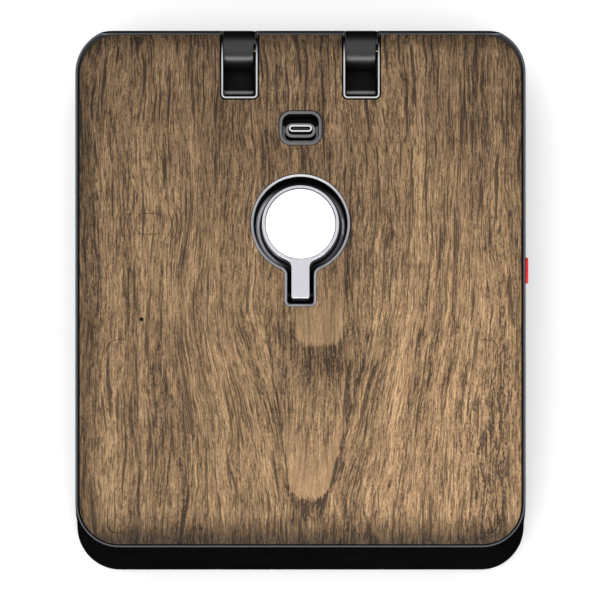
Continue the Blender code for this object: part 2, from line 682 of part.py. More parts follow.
def build_usb(lid):
    """USB-C well with the plug standing in it."""
    well = lid.add("usb_well", prism(usb_outline(0.0), USB_BOTTOM, HEIGHT), "grey_polymer")
    cut(well, prism(usb_outline(-USB_WALL), USB_FLOOR, HEIGHT + 1))
    boot = lid.add("usb_boot", prism(stadium(0.0, USB_Y, 5.65, 2.7), USB_FLOOR + GAP, BOOT_TOP),
                   "grey_polymer")
    cut(boot, prism(stadium(0.0, USB_Y, 4.45, 1.5), USB_FLOOR + 2.4, BOOT_TOP + 1))
    shell = lid.add("usb_shell", prism(stadium(0.0, USB_Y, 4.15, 1.2), USB_FLOOR + 2.7, PLUG_TOP), "steel")
    cut(shell, prism(stadium(0.0, USB_Y, 3.8, 0.85), USB_FLOOR + 3.3, PLUG_TOP + 1))
    lid.add("usb_contacts", prism(stadium(0.0, USB_Y, 3.2, 0.35, 3), USB_FLOOR + 3.6, PLUG_TOP - 0.6),
            "brass")


def build_keyhole_well(lid):
    """Keyhole-shaped cup that the watch arm folds into, and the pin of the arm."""
    well = lid.add("keyhole_well", prism(keyhole(WELL_RADIUS, WELL_NECK, WELL_END, 2.2, 1.2),
                                         WELL_BOTTOM, HEIGHT + 0.1), "bright_aluminium")
    inner = keyhole(WELL_RADIUS - WELL_WALL, WELL_NECK - WELL_WALL + 0.05, WELL_END + 1.3, 3.0, 0.5)
    cut(well, prism(inner, WELL_FLOOR, HEIGHT + 1))
    cut(well, rod(-WELL_NECK - 1, WELL_NECK + 1, FLIP_Y, FLIP_Z, FLIP_PIN_RADIUS + 0.2, 12))
    lid.add("flip_pin", rod(-WELL_NECK + 0.1, WELL_NECK - 0.1, FLIP_Y, FLIP_Z, FLIP_PIN_RADIUS, 12), "steel")


def build_lid_electronics(lid):
    """Boards, coils, ferrites, the button's switch, the light pipe and the lead to the hinge."""
    base_z = COVER_TOP + 0.9
    board = lid.add("lid_board", block((-6, -8, base_z), (70, 50, base_z + 1.1)), "circuit_board")
    weld(board, block((28, 20, base_z + 0.9), (38, 30, base_z + 2.6)),
         block((46, 34, base_z + 0.9), (54, 42, base_z + 2.2)),
         block((30, -2, base_z + 0.9), (42, 6, base_z + 3.6)))
    lid.add("phone_ferrite", turned((0.0, PHONE_Y), [(26.0, 33.6), (26.0, 34.6)], 32), "ferrite")
    lid.add("phone_coil", ring((0.0, PHONE_Y), 10.0, 24.0, 35.0, 36.6, 32), "copper")
    lid.add("earbud_ferrite", turned((EARBUD_X, EARBUD_Y), [(14.0, 33.6), (14.0, 34.6)], 28), "ferrite")
    lid.add("earbud_coil", ring((EARBUD_X, EARBUD_Y), 5.0, 12.5, 35.0, 36.6, 28), "copper")
    switch_x = HALF_WIDTH - LID_CAVITY_INSET - 2.0
    lid.add("button_switch",
            block((switch_x - 4.6, BUTTON_Y - 3.0, BUTTON_Z - 1.4),
                  (switch_x, BUTTON_Y + 3.0, BUTTON_Z + 1.4)),
            "black_polymer", smooth_angle=0)
    lid.add("light_pipe", turned((LIGHT_X, LIGHT_Y), [(1.0, 34.0), (1.0, WEB_TOP), (0.45, WEB_TOP + 0.4),
                                                      (0.45, HEIGHT - 1.6)], 16), "clear_polymer")
    lead_z = COVER_TOP + 1.5
    lid.add("lid_lead", tube_path([(0, 50.5, lead_z), (0, LEAD_Y - 1.5, lead_z),
                                   (0, LEAD_Y, LID_BOTTOM + 0.9)], 1.1), "black_polymer")


# ---------------------------------------------------------------- watch arm
def build_watch_arm(arm_body):
    """Lollipop arm with the charging disc let into its head."""
    arm = arm_body.add("watch_arm", loft([
        [(x, y, ARM_BOTTOM) for x, y in keyhole(ARM_RADIUS - 0.4, ARM_NECK - 0.4, ARM_END + 0.4, 3.2, 0.6)],
        [(x, y, ARM_BOTTOM + 0.4) for x, y in keyhole(ARM_RADIUS, ARM_NECK, ARM_END, 3.0, 0.8)],
        [(x, y, ARM_TOP - 0.2) for x, y in keyhole(ARM_RADIUS, ARM_NECK, ARM_END, 3.0, 0.8)],
        [(x, y, ARM_TOP) for x, y in keyhole(ARM_RADIUS - 0.2, ARM_NECK - 0.2, ARM_END + 0.2, 3.1, 0.7)],
    ]), "bright_aluminium")
    centre = (0.0, WATCH_Y)
    cut(arm, turned(centre, [(DISC_RADIUS + GAP, 40.6), (DISC_RADIUS + GAP, ARM_TOP + 1)], 36))
    cut(arm, rod(-ARM_NECK - 1, ARM_NECK + 1, FLIP_Y, FLIP_Z, FLIP_PIN_RADIUS + GAP, 12))
    arm_body.add("watch_disc", turned(centre, [(DISC_RADIUS, 42.5), (DISC_RADIUS, ARM_TOP),
                                               (DISC_RADIUS - 0.4, ARM_TOP + 0.1)], 36), "white_polymer")
    arm_body.add("watch_coil", ring(centre, 6.4, 11.4, 41.0, 42.1, 28), "copper")
    arm_body.add("watch_magnet", turned(centre, [(5.2, 41.0), (5.2, 42.1)], 20), "steel")


# ---------------------------------------------------------------- side button
def build_side_button(button):
    """Red button through the frame's right side, kept in by a flange inside the wall."""
    inner_wall = HALF_WIDTH - LID_CAVITY_INSET
    face = button_outline(-0.35)
    side = button_outline(0.0)
    flange = button_outline(0.6, 0.6)
    proud = HALF_WIDTH + BUTTON_PROUD
    loops = [(flange, inner_wall - 1.0), (flange, inner_wall - GAP), (side, inner_wall - GAP),
             (side, proud - 0.35), (face, proud)]
    button.add("side_button", loft([[(x, y, z) for y, z in outline] for outline, x in loops]), "red_polymer")


# ---------------------------------------------------------------- assembly
clear_scene()
MATERIALS = {name: make_material(name, *values) for name, values in FINISHES.items()}

base_body = Body("base")
lid_body = Body("lid_axis", (0.0, AXIS_Y, AXIS_Z))
watch_body = Body("watch_axis", (0.0, FLIP_Y, FLIP_Z), lid_body)
button_body = Body("button_axis", (HALF_WIDTH, BUTTON_Y, BUTTON_Z), lid_body)

build_base_shell(base_body)
build_base_bottom(base_body)
build_tray_liner(base_body)
build_base_power(base_body)
build_base_catches(base_body)
build_hinge_arms(base_body)

build_lid_frame(lid_body)
build_wood_panel(lid_body)
build_notch_trims(lid_body)
build_hinge_pins(lid_body)
build_lid_cover(lid_body)
build_usb(lid_body)
build_keyhole_well(lid_body)
build_lid_electronics(lid_body)

build_watch_arm(watch_body)
build_side_button(button_body)
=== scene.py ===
"""Looks for the desktop charging box: walnut lid, black case, bright trims, watch charger and USB-C plug.

Shapes are written in millimetres in the CAD frame; make_object turns them into metres.
"""
import json
import math
import random

import bmesh
import bpy
from mathutils import Matrix, Vector


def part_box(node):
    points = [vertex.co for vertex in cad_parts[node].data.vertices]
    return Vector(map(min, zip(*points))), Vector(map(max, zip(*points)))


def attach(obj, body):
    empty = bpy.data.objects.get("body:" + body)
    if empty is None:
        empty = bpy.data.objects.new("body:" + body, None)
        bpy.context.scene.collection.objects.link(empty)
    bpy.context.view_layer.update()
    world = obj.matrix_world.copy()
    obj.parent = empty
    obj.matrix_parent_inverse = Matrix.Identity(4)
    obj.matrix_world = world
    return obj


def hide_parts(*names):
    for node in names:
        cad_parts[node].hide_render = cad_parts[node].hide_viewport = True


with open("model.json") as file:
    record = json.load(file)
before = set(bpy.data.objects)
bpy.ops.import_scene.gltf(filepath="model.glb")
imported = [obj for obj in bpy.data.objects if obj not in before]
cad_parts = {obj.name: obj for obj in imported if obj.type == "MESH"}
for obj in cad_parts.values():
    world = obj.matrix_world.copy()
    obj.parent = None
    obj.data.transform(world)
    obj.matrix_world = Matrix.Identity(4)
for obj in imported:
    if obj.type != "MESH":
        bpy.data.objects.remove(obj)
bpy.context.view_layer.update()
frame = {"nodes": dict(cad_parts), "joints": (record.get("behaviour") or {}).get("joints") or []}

MM = 0.001


# ------------ places and sizes, from the CAD frame
def span(node):
    """Lowest and highest corner of a CAD node, in millimetres."""
    low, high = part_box(node)
    return low / MM, high / MM


def middle(node):
    """Centre of a CAD node, in millimetres."""
    low, high = span(node)
    return (low + high) / 2


frame_low, frame_high = span("lid_frame")
shell_low, shell_high = span("base_shell")
wood_low, wood_high = span("wood_panel")
tray_low, tray_high = span("felt_liner")
joints = {joint["name"]: joint for joint in frame["joints"]}

HALF_WIDTH = frame_high.x
FRONT_Y = frame_low.y
REAR_Y = frame_high.y
LID_BOTTOM = frame_low.z
RIM_TOP = frame_high.z
HEIGHT = wood_high.z
BASE_LOW = shell_low.z
BASE_TOP = shell_high.z
AXIS = AXIS_Y, AXIS_Z = tuple(value / MM for value in joints["lid_open"]["pos_m"][1:])
FLIP_Y, FLIP_Z = (value / MM for value in joints["watch_flip"]["pos_m"][1:])
HINGE_RADIUS = REAR_Y - AXIS_Y
WATCH_Y = middle("watch_disc").y
USB_Y = middle("usb_well").y
LIGHT_X, LIGHT_Y = middle("light_pipe").xy
EARBUD_X, EARBUD_Y = middle("earbud_coil").xy
BARREL_X = {side: middle(f"hinge_arm_{side}").x for side in ("left", "right")}
NOTCH_X = {side: middle(f"hinge_pin_{side}").x for side in ("left", "right")}
trim_low, trim_high = span("notch_trim_right")
TRIM_OUTER = (trim_high.x - trim_low.x) / 2
TRIM_FRONT = trim_low.y
BUTTON = middle("side_button")

# Sizes of the case that the boxes above don't give
GAP = 0.3  # room round a part that sits in a pocket
CLEAR = 1.0  # how far a cutter runs past the surface that it cuts
CORNER_RADIUS = 16.0
CORNER_STEPS = 16
WEB_TOP = wood_low.z - 0.3
WOOD_RECESS = 0.9
WOOD_INSET = 1.55
WOOD_FRONT = FRONT_Y + 1.15
WOOD_REAR = 92.1
WOOD_CORNER = 14.3
WOOD_EDGE_TOP = RIM_TOP + 0.1
PILLOW_WIDTH = 9.5
PILLOW_POWER = 2.6
TRIM_WALL = 0.75
TRIM_EDGE = TRIM_OUTER - 0.2
TRIM_INNER = TRIM_OUTER - TRIM_WALL
BASE_INSET = 0.25
CASE_WALL = 5.2
CAVITY_TOP = 8.6
HINGE_ROOM_HALF, HINGE_ROOM_FRONT, HINGE_ROOM_TOP = 66.0, 67.0, 25.1
LID_CAVITY_TOP = 37.6
WELL_RADIUS = 18.0
WELL_NECK = 5.75
WELL_END = span("keyhole_well")[0].y
PIN_BORE = 1.6
ARM_SCREW_Y = (74.0, 80.0)
ARM_SCREW_BORE = 1.4
COVER_BOSSES = [(x, y) for y in (-84.0, 58.5) for x in (-72.0, 72.0)]

# Sizes of details that only the visual model has
EDGE_STEPS = 2
RIM_ROUND = 0.48
REAR_BEAD = 0.32
REAR_BEAD_Y = 92.4
REAR_BEAD_END = 72.6
TROUGH_WIDTH = 2.5
TROUGH_FLOOR = 38.4
WELL_WALL = 0.85
USB_HALF = (7.75, 6.2)
USB_CORNER = 4.2
USB_BEZEL = 1.1
USB_FLOOR = 35.3
PHONE_ZONE = (-70.2, 71.6, -19.5, -89.6)  # left, right, rear and front edges
MARK_WIDTH = 0.34
MARK_LIFT = 0.03
MARK_DEPTH = 0.12
# where the painted sheen lies in the watch trough: its radius, and the band below the stem
SHEEN_RADIUS = 15.6
SHEEN_TAIL_Y = -5.6
LEAF_TOP = 33.0
LIP_DEPTH = 2.25
LIP_TOP = 40.6
PIN_RADIUS = 1.3
PIN_NECK = 0.5

# Crown figure of the walnut, small arch and large arch: tip, half width at the tip, widening, length of the
# dark comb in front. Both stand on an axis that leans to the right, and stop widening at ARCH_END.
ARCHES = ((-21.5, 9.4, 0.02, 24.0), (-77.0, 7.0, 0.2, 12.0))
ARCH_END = -8.0
ARCH_X = 7.2
ARCH_LEAN = 0.055

# Camera: a shifted lens above the lid, as for a catalogue plate, in metres
CAMERA_SLOPE = 0.225
CAMERA_HEIGHT = 6.9
CAMERA_TARGET = (-0.00018, -0.00502, 0.044)
VIEW_WIDTH = 0.2182


# ------------ shapes: (vertices, faces) in millimetres
def loft(loops):
    """A closed solid through stacked loops that all have the same number of points."""
    count = len(loops[0])
    vertices = [point for loop in loops for point in loop]
    faces = [tuple(range(count))[::-1]]
    for level in range(len(loops) - 1):
        low, high = level * count, (level + 1) * count
        faces += [(low + i, low + (i + 1) % count, high + (i + 1) % count, high + i) for i in range(count)]
    top = (len(loops) - 1) * count
    faces.append(tuple(range(top, top + count)))
    return vertices, faces


def layers(*levels):
    """A loft from (outline, height) pairs."""
    return loft([[(x, y, z) for x, y in outline] for outline, z in levels])


def prism(outline, z_low, z_high):
    """An outline in X and Y, extruded upwards."""
    return layers((outline, z_low), (outline, z_high))


def side_prism(profile, x_low, x_high):
    """A profile in Y and Z, extruded along X."""
    return loft([[(x, y, z) for y, z in profile] for x in (x_low, x_high)])


def block(low, high):
    """A box from its lowest and highest corners, used for cutting."""
    outline = [(low[0], low[1]), (high[0], low[1]), (high[0], high[1]), (low[0], high[1])]
    return prism(outline, low[2], high[2])


def arc(centre, radius, start, end, steps):
    """Points of an arc, in degrees."""
    angles = [math.radians(start + (end - start) * i / steps) for i in range(steps + 1)]
    return [(centre[0] + radius * math.cos(a), centre[1] + radius * math.sin(a)) for a in angles]


def rounded_rectangle(low, high, radius, steps=10, inset=0.0):
    """The outline between two corners, moved inwards, with round corners."""
    left, front = low[0] + inset + radius, low[1] + inset + radius
    right, rear = high[0] - inset - radius, high[1] - inset - radius
    corners = ((right, front, -90), (right, rear, 0), (left, rear, 90), (left, front, 180))
    return [p for x, y, start in corners for p in arc((x, y), radius, start, start + 90, steps)]


def case_outline(inset, rear=REAR_Y):
    """The outline of the case, moved inwards from its sides and from rear."""
    return rounded_rectangle((-HALF_WIDTH, FRONT_Y), (HALF_WIDTH, rear), CORNER_RADIUS - inset,
                             CORNER_STEPS, inset)


def wood_outline(distance):
    """The outline of the wood at a distance in from its edge."""
    side = HALF_WIDTH - WOOD_INSET
    return rounded_rectangle((-side, WOOD_FRONT), (side, WOOD_REAR), WOOD_CORNER - distance, CORNER_STEPS,
                             distance)


def pocket_outline(node, radius):
    """The outline of a pocket that a rectangular CAD node fits into."""
    return rounded_rectangle(*span(node), radius, 12, -GAP)


def circle(x, y, radius, steps=48):
    """A full circle outline."""
    return arc((x, y), radius, 0, 360 - 360 / steps, steps - 1)


def keyhole(radius, neck, end, fillet, corner):
    """A circle about the watch centre with a filleted neck that runs forward to end."""
    fillet_x = neck + fillet
    fillet_y = -math.sqrt((radius + fillet) ** 2 - fillet_x ** 2)
    meet = math.degrees(math.atan2(fillet_y, fillet_x))
    outline = arc((0.0, WATCH_Y), radius, meet, 180 - meet, 72)
    outline += arc((-fillet_x, WATCH_Y + fillet_y), fillet, -meet, 0, 8)
    outline += arc((-neck + corner, end + corner), corner, 180, 270, 6)
    outline += arc((neck - corner, end + corner), corner, 270, 360, 6)
    outline += arc((fillet_x, WATCH_Y + fillet_y), fillet, 180, 180 + meet, 8)
    return outline[:-1]


def well_outline(grow, corner):
    """The outline of the hole that the keyhole cup sits in."""
    return keyhole(WELL_RADIUS + grow, WELL_NECK + grow, WELL_END - grow, 2.0, corner)


def stadium(x, y, half_length, half_width, steps=12):
    """An outline with straight sides along X and half-round ends."""
    flat = half_length - half_width
    return arc((x + flat, y), half_width, -90, 90, steps) + arc((x - flat, y), half_width, 90, 270, steps)


def notch_outline(x, half, front, corner, rear=REAR_Y + 5):
    """A slot that is open at the rear, with round front corners."""
    outline = arc((x - half + corner, front + corner), corner, 180, 270, 8)
    outline += arc((x + half - corner, front + corner), corner, 270, 360, 8)
    return outline + [(x + half, rear), (x - half, rear)]


def usb_outline(grow):
    """The USB well's outline, grown or shrunk."""
    x, y = USB_HALF
    return rounded_rectangle((-x, USB_Y - y), (x, USB_Y + y), USB_CORNER + grow, 10, -grow)


def turned(centre, profile, steps=48):
    """A solid turned about a vertical axis; the profile lists (radius, height) from bottom to top."""
    return layers(*[(circle(*centre, radius, steps), z) for radius, z in profile])


def rod(x_low, x_high, y, z, radius, steps=24):
    """A round bar along X."""
    return side_prism(circle(y, z, radius, steps), x_low, x_high)


def rounded(outline, inward, rise, z, steps, first=0):
    """Levels of a quarter round, steep at z - rise, flat at z; outline(d) is the loop or radius d inwards."""
    angles = [math.pi / 2 * i / steps for i in range(first, steps + 1)]
    return [(outline(inward * (1 - math.cos(a))), z - rise * (1 - math.sin(a))) for a in angles]


def bore(centre, radius, low, high, steps=24):
    """A vertical round cutter."""
    return turned(centre, [(radius, low), (radius, high)], steps)


def pillow_height(distance):
    """Height of the wood's top at a distance in from its edge."""
    if distance >= PILLOW_WIDTH:
        return HEIGHT
    return HEIGHT - (HEIGHT - WOOD_EDGE_TOP) * (1.0 - max(distance, 0.0) / PILLOW_WIDTH) ** PILLOW_POWER


def wood_height(x, y):
    """Height of the wood's top at a point, away from its corners."""
    return pillow_height(min(HALF_WIDTH - WOOD_INSET - abs(x), y - WOOD_FRONT, WOOD_REAR - y))


def half_round_limit():
    """Everything that can turn about the hinge axis without touching the base."""
    far = 5.0
    profile = [(FRONT_Y - far, LID_BOTTOM - far), (AXIS_Y, LID_BOTTOM - far)]
    profile += arc(AXIS, HINGE_RADIUS, -90, 90, 48)
    profile += [(AXIS_Y, HEIGHT + far), (FRONT_Y - far, HEIGHT + far)]
    return side_prism(profile, -HALF_WIDTH - far, HALF_WIDTH + far)


# ------------ pieces
def add_object(name, data):
    """A new object in the scene."""
    thing = bpy.data.objects.new(name, data)
    bpy.context.scene.collection.objects.link(thing)
    return thing


def make_object(name, shape):
    """An object with the shape's mesh, in metres, with its faces turned outwards."""
    mesh = bpy.data.meshes.new(name)
    mesh.from_pydata([Vector(v) * MM for v in shape[0]], [], shape[1])
    work = bmesh.new()
    work.from_mesh(mesh)
    bmesh.ops.remove_doubles(work, verts=work.verts, dist=1e-7)
    bmesh.ops.recalc_face_normals(work, faces=work.faces)
    work.to_mesh(mesh)
    work.free()
    return add_object(name, mesh)


def settle(thing):
    """Apply every modifier of a piece."""
    graph = bpy.context.evaluated_depsgraph_get()
    mesh = bpy.data.meshes.new_from_object(thing.evaluated_get(graph))
    thing.modifiers.clear()
    thing.data = mesh


def boolean(thing, operation, shapes):
    """One exact Boolean with each shape."""
    cutters = []
    for shape in shapes:
        cutter = make_object(f"cutter_{len(cutters)}", shape)
        modifier = thing.modifiers.new("boolean", "BOOLEAN")
        modifier.operation, modifier.solver, modifier.object = operation, "EXACT", cutter
        cutters.append(cutter)
    settle(thing)
    for cutter in cutters:
        bpy.data.objects.remove(cutter)


def cut(thing, *shapes):
    """Take shapes away from a piece."""
    boolean(thing, "DIFFERENCE", shapes)


def weld(thing, *shapes):
    """Join shapes to a piece."""
    boolean(thing, "UNION", shapes)


def trim(thing, shape):
    """Keep only what lies inside a shape."""
    boolean(thing, "INTERSECT", [shape])


def soften(thing, width, angle=32.0, segments=EDGE_STEPS):
    """Merge flat facets, then round the edges sharper than angle."""
    work = bmesh.new()
    work.from_mesh(thing.data)
    bmesh.ops.remove_doubles(work, verts=work.verts, dist=2e-6)
    bmesh.ops.dissolve_limit(work, angle_limit=math.radians(0.4), verts=work.verts, edges=work.edges)
    work.to_mesh(thing.data)
    work.free()
    bevel = thing.modifiers.new("soften", "BEVEL")
    bevel.width, bevel.segments = width * MM, segments
    bevel.limit_method, bevel.angle_limit = "ANGLE", math.radians(angle)
    bevel.use_clamp_overlap = True
    settle(thing)


def finish_piece(thing, body, slot, *nodes, paint=None, smooth=38.0):
    """Give a piece its material and its body, and hide the CAD nodes it stands for."""
    thing.data.materials.clear()
    thing.data.materials.append(MATERIALS[paint or slot])
    thing.data.shade_smooth()
    thing.data.set_sharp_from_angle(angle=math.radians(smooth))
    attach(thing, body)
    if nodes:
        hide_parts(*nodes)


def repaint(thing, paint, chosen):
    """Use another material on the faces for which chosen(centre in mm, normal) is true."""
    thing.data.materials.append(MATERIALS[paint])
    index = len(thing.data.materials) - 1
    for face in thing.data.polygons:
        if chosen(face.center / MM, face.normal):
            face.material_index = index


# ------------ materials
def colour(*display):
    """Linear colour from red, green and blue display values between 0 and 255."""
    values = (value / 255 for value in display)
    return (*[v / 12.92 if v <= 0.04045 else ((v + 0.055) / 1.055) ** 2.4 for v in values], 1.0)


class Nodes:
    """A node tree that is written as expressions."""

    def __init__(self, tree):
        self.tree = tree

    def feed(self, socket, value):
        if isinstance(value, bpy.types.NodeSocket):
            self.tree.links.new(value, socket)
        else:
            socket.default_value = value

    def add(self, kind, inputs=(), **settings):
        """A new node, with its first inputs fed."""
        node = self.tree.nodes.new(kind)
        for key, value in settings.items():
            setattr(node, key, value)
        for socket, value in zip(node.inputs, inputs):
            self.feed(socket, value)
        return node

    def fill(self, node, **values):
        """Feed inputs by name, with _ for spaces."""
        for key, value in values.items():
            self.feed(node.inputs[key.replace("_", " ")], value)
        return node.outputs

    def math(self, operation, *values):
        return self.add("ShaderNodeMath", values, operation=operation).outputs[0]

    def join(self, operation, values):
        total = values[0]
        for value in values[1:]:
            total = self.math(operation, total, value)
        return total

    def plus(self, *values):
        return self.join("ADD", values)

    def times(self, *values):
        return self.join("MULTIPLY", values)

    def most(self, *values):
        return self.join("MAXIMUM", values)

    def minus(self, a, b):
        return self.math("SUBTRACT", a, b)

    def apart(self, a, b):
        """How far apart two numbers are."""
        return self.math("ABSOLUTE", self.minus(a, b))

    def faded(self, value, amount):
        """1, less an amount of value."""
        return self.math("MULTIPLY_ADD", value, -amount, 1.0)

    def swing(self, value, reach):
        """A value between 0 and 1, spread from -reach to reach."""
        return self.math("MULTIPLY_ADD", value, 2 * reach, -reach)

    def split(self, vector):
        return list(self.add("ShaderNodeSeparateXYZ", [vector]).outputs)

    def point(self, x, y, z=0.0):
        return self.add("ShaderNodeCombineXYZ", (x, y, z)).outputs[0]

    def step(self, value, low, high, to_low=0.0, to_high=1.0):
        """A smooth step of value between low and high."""
        inputs = (value, low, high, to_low, to_high)
        return self.add("ShaderNodeMapRange", inputs, interpolation_type="SMOOTHSTEP").outputs[0]

    def mix(self, factor, a, b):
        node = self.add("ShaderNodeMix", data_type="RGBA")
        for index, value in ((0, factor), (6, a), (7, b)):
            self.feed(node.inputs[index], value)
        return node.outputs[2]

    def vary(self, tint, factor):
        """A colour times a number."""
        tint = tint[:3] if isinstance(tint, tuple) else tint
        return self.fill(self.add("ShaderNodeVectorMath", [tint], operation="SCALE"), Scale=factor)[0]


class Shade(Nodes):
    """A material. Points are in millimetres."""

    def __init__(self, name):
        self.material = bpy.data.materials.new(name)
        self.material.use_nodes = True
        super().__init__(self.material.node_tree)
        self.shader = self.tree.nodes["Principled BSDF"]
        self.place = self.split(self.vary(self.add("ShaderNodeTexCoord").outputs["Object"], 1 / MM))

    def noise(self, size, detail=2.0, roughness=0.5, place=None, seed=0.0):
        """Noise whose features are about size millimetres, either one number or one for each axis."""
        lengths = size if isinstance(size, tuple) else (size,) * 3
        parts = [self.math("MULTIPLY_ADD", axis, 1 / length, seed * (i + 1.7))
                 for i, (axis, length) in enumerate(zip(place or self.place, lengths))]
        return self.fill(self.add("ShaderNodeTexNoise"), Vector=self.point(*parts), Scale=1.0, Detail=detail,
                         Roughness=roughness)["Fac"]

    def cells(self, size):
        """Distance to the nearest of scattered points, about size millimetres apart."""
        place = self.point(*[self.times(axis, 1 / size) for axis in self.place])
        return self.fill(self.add("ShaderNodeTexVoronoi"), Vector=place, Scale=1.0)["Distance"]

    def finish(self, height, relief, strength=1.0, **values):
        """The material, with the shader's inputs; relief is how many millimetres one unit of height is."""
        bump = self.fill(self.add("ShaderNodeBump"), Strength=strength, Distance=relief * MM, Height=height)
        self.fill(self.shader, Normal=bump[0], **values)
        return self.material


def moulded(name, tint, roughness, grain=0.35, relief=0.006, specular=0.5, sheen=0.0):
    """Plastic or rubber with a fine eroded texture and faint cloudy tone."""
    shade = Shade(name)
    cloud = shade.noise(9.0, 3.0)
    fine = shade.noise(grain, 2.0, 0.6, seed=3.1)
    tone = shade.plus(shade.step(cloud, 0.3, 0.7, 0.9, 1.08), shade.step(fine, 0.3, 0.7, -0.05, 0.05))
    return shade.finish(fine, relief, Base_Color=shade.vary(colour(*tint), tone), Specular_IOR_Level=specular,
                        Roughness=shade.step(fine, 0.3, 0.7, roughness - 0.04, roughness + 0.05),
                        Sheen_Weight=sheen)


def metal(name, tint, roughness, brushed=0.25, relief=0.002, metallic=1.0, specular=0.5):
    """Metal with blasted or brushed grain; brushed is the grain's size, or its size along each axis."""
    shade = Shade(name)
    grain = shade.noise(brushed, 3.0, 0.6)
    cloud = shade.noise(14.0, 2.0, seed=5.3)
    tone = shade.plus(shade.step(grain, 0.25, 0.75, 0.93, 1.05), shade.step(cloud, 0.3, 0.7, -0.03, 0.03))
    return shade.finish(grain, relief, Base_Color=shade.vary(colour(*tint), tone), Metallic=metallic,
                        Roughness=shade.step(cloud, 0.3, 0.7, roughness - 0.03, roughness + 0.04),
                        Specular_IOR_Level=specular)


def trough():
    """Watch-well trough painted near black as shade, with a painted soft grey sheen half way across its
    flanks.
    """
    shade = Shade("trough")
    x, y, _ = shade.place
    ahead = shade.minus(y, WATCH_Y)
    radius = shade.math("SQRT", shade.plus(shade.times(x, x), shade.times(ahead, ahead)))
    bearing = shade.math("DIVIDE", ahead, radius)
    # painted sheen and glint: reflections put into the colour, as a ring half way across, a band below the
    # stem and a glint on the right
    off_ring = shade.apart(radius, SHEEN_RADIUS)
    ring = shade.times(shade.step(off_ring, 0.85, 0.2), shade.step(bearing, 0.9, 0.3),
                       shade.step(bearing, -0.97, -0.75), shade.step(x, -5.0, 8.0, 1.0, 0.3))
    tail = shade.times(shade.step(shade.apart(y, SHEEN_TAIL_Y), 0.75, 0.35),
                       shade.step(shade.apart(x, 0.0), 4.8, 4.2, 0.0, 0.16))
    glint = shade.times(shade.step(off_ring, 0.35, 0.15), shade.step(shade.apart(ahead, 0.0), 3.4, 2.4),
                        shade.step(x, 14.0, 15.0), 0.8)
    grain = shade.noise(0.4, 2.0)
    uneven = shade.step(grain, 0.2, 0.8, 0.85, 1.1)
    sheen = shade.plus(shade.times(shade.plus(ring, tail, glint), uneven), 0.012)
    tint = shade.point(sheen, sheen, shade.times(sheen, 1.04))
    return shade.finish(grain, 0.002, Base_Color=tint, Metallic=0.85, Roughness=0.36)


def trim_edge():
    """Polished edge of the hinge notches, with painted shade that darkens it where it rolls down to the rear.
    """
    shade = Shade("trim_edge")
    grain = shade.noise(0.2, 3.0, 0.6)
    # painted shade: the colour falls almost to black towards the rear
    fade = shade.step(shade.place[1], AXIS_Y + 2.5, AXIS_Y - 5.5, 0.02, 1.0)
    tone = shade.times(fade, shade.step(grain, 0.2, 0.8, 0.94, 1.03))
    tint = shade.vary(colour(216, 216, 221), tone)
    return shade.finish(grain, 0.003, Base_Color=tint, Metallic=1.0, Roughness=0.3)


def felt():
    """Needled charcoal felt: matted fibres, pale flecks and a soft nap."""
    shade = Shade("felt")
    warp = shade.times(shade.minus(shade.noise(1.6, 3.0, 0.6), 0.5), 3.0)
    place = [shade.plus(axis, warp) for axis in shade.place]
    fibres = shade.most(shade.noise((0.16, 1.3, 0.5), 3.0, 0.65, place),
                        shade.noise((1.3, 0.16, 0.5), 3.0, 0.65, place, 7.7))
    cloud = shade.noise(11.0, 3.0, seed=2.2)
    tint = shade.mix(shade.step(fibres, 0.45, 0.72), colour(52, 52, 56), colour(104, 104, 110))
    flecks = shade.step(shade.noise(0.35, 1.0, seed=9.1), 0.70, 0.76)
    tint = shade.mix(shade.times(flecks, 0.5), tint, colour(168, 168, 174))
    tint = shade.vary(tint, shade.step(cloud, 0.3, 0.7, 0.82, 1.12))
    return shade.finish(shade.plus(fibres, shade.times(cloud, 0.5)), 0.25, 0.9, Base_Color=tint,
                        Roughness=1.0, Specular_IOR_Level=0.1, Sheen_Weight=0.35, Sheen_Roughness=0.5)


def board():
    """Solder mask with tracks and pads."""
    shade = Shade("circuit_board")
    path = shade.plus(shade.place[0], shade.times(shade.noise(6.0, 0.0), 6.0))
    tracks = shade.step(shade.math("PINGPONG", path, 0.9), 0.55, 0.65)
    pads = shade.step(shade.cells(3.2), 0.16, 0.12)
    tint = shade.mix(tracks, colour(12, 62, 40), colour(24, 92, 60))
    tint = shade.mix(pads, tint, colour(196, 178, 120))
    return shade.finish(shade.plus(tracks, pads), 0.03, Base_Color=tint, Metallic=pads, Roughness=0.38)


def arch_spread(shade, tip, widening, least):
    """How much wider an arch is, at each place, than at its tip."""
    past_tip = shade.minus(shade.math("MINIMUM", shade.place[1], ARCH_END), tip)
    return shade.times(shade.most(past_tip, least), widening)


def walnut_grain(shade):
    """A place that follows the grain, and the distance from the arches' axis."""
    x, y, z = shade.place
    wander = shade.plus(shade.swing(shade.noise((34.0, 70.0, 30.0), 1.0), 4.5),
                        shade.swing(shade.noise((6.0, 20.0, 9.0), 2.0, seed=1.3), 1.2))
    axis = shade.math("MULTIPLY_ADD", y, ARCH_LEAN, ARCH_X)
    offset = shade.minus(shade.plus(x, shade.times(wander, 0.35)), axis)
    reach = shade.math("ABSOLUTE", offset)
    # outside the large arch the grain is pushed outwards, along its sides
    tip, width, widening, _ = ARCHES[-1]
    spread = arch_spread(shade, tip, widening, 0.0)
    outside = shade.minus(shade.minus(reach, spread), width)
    push = shade.times(shade.step(outside, -0.2, 0.2), shade.step(outside, 46.0, 0.0), spread)
    across = shade.minus(shade.plus(x, wander), shade.times(push, shade.math("SIGN", offset)))
    return [across, y, z], reach


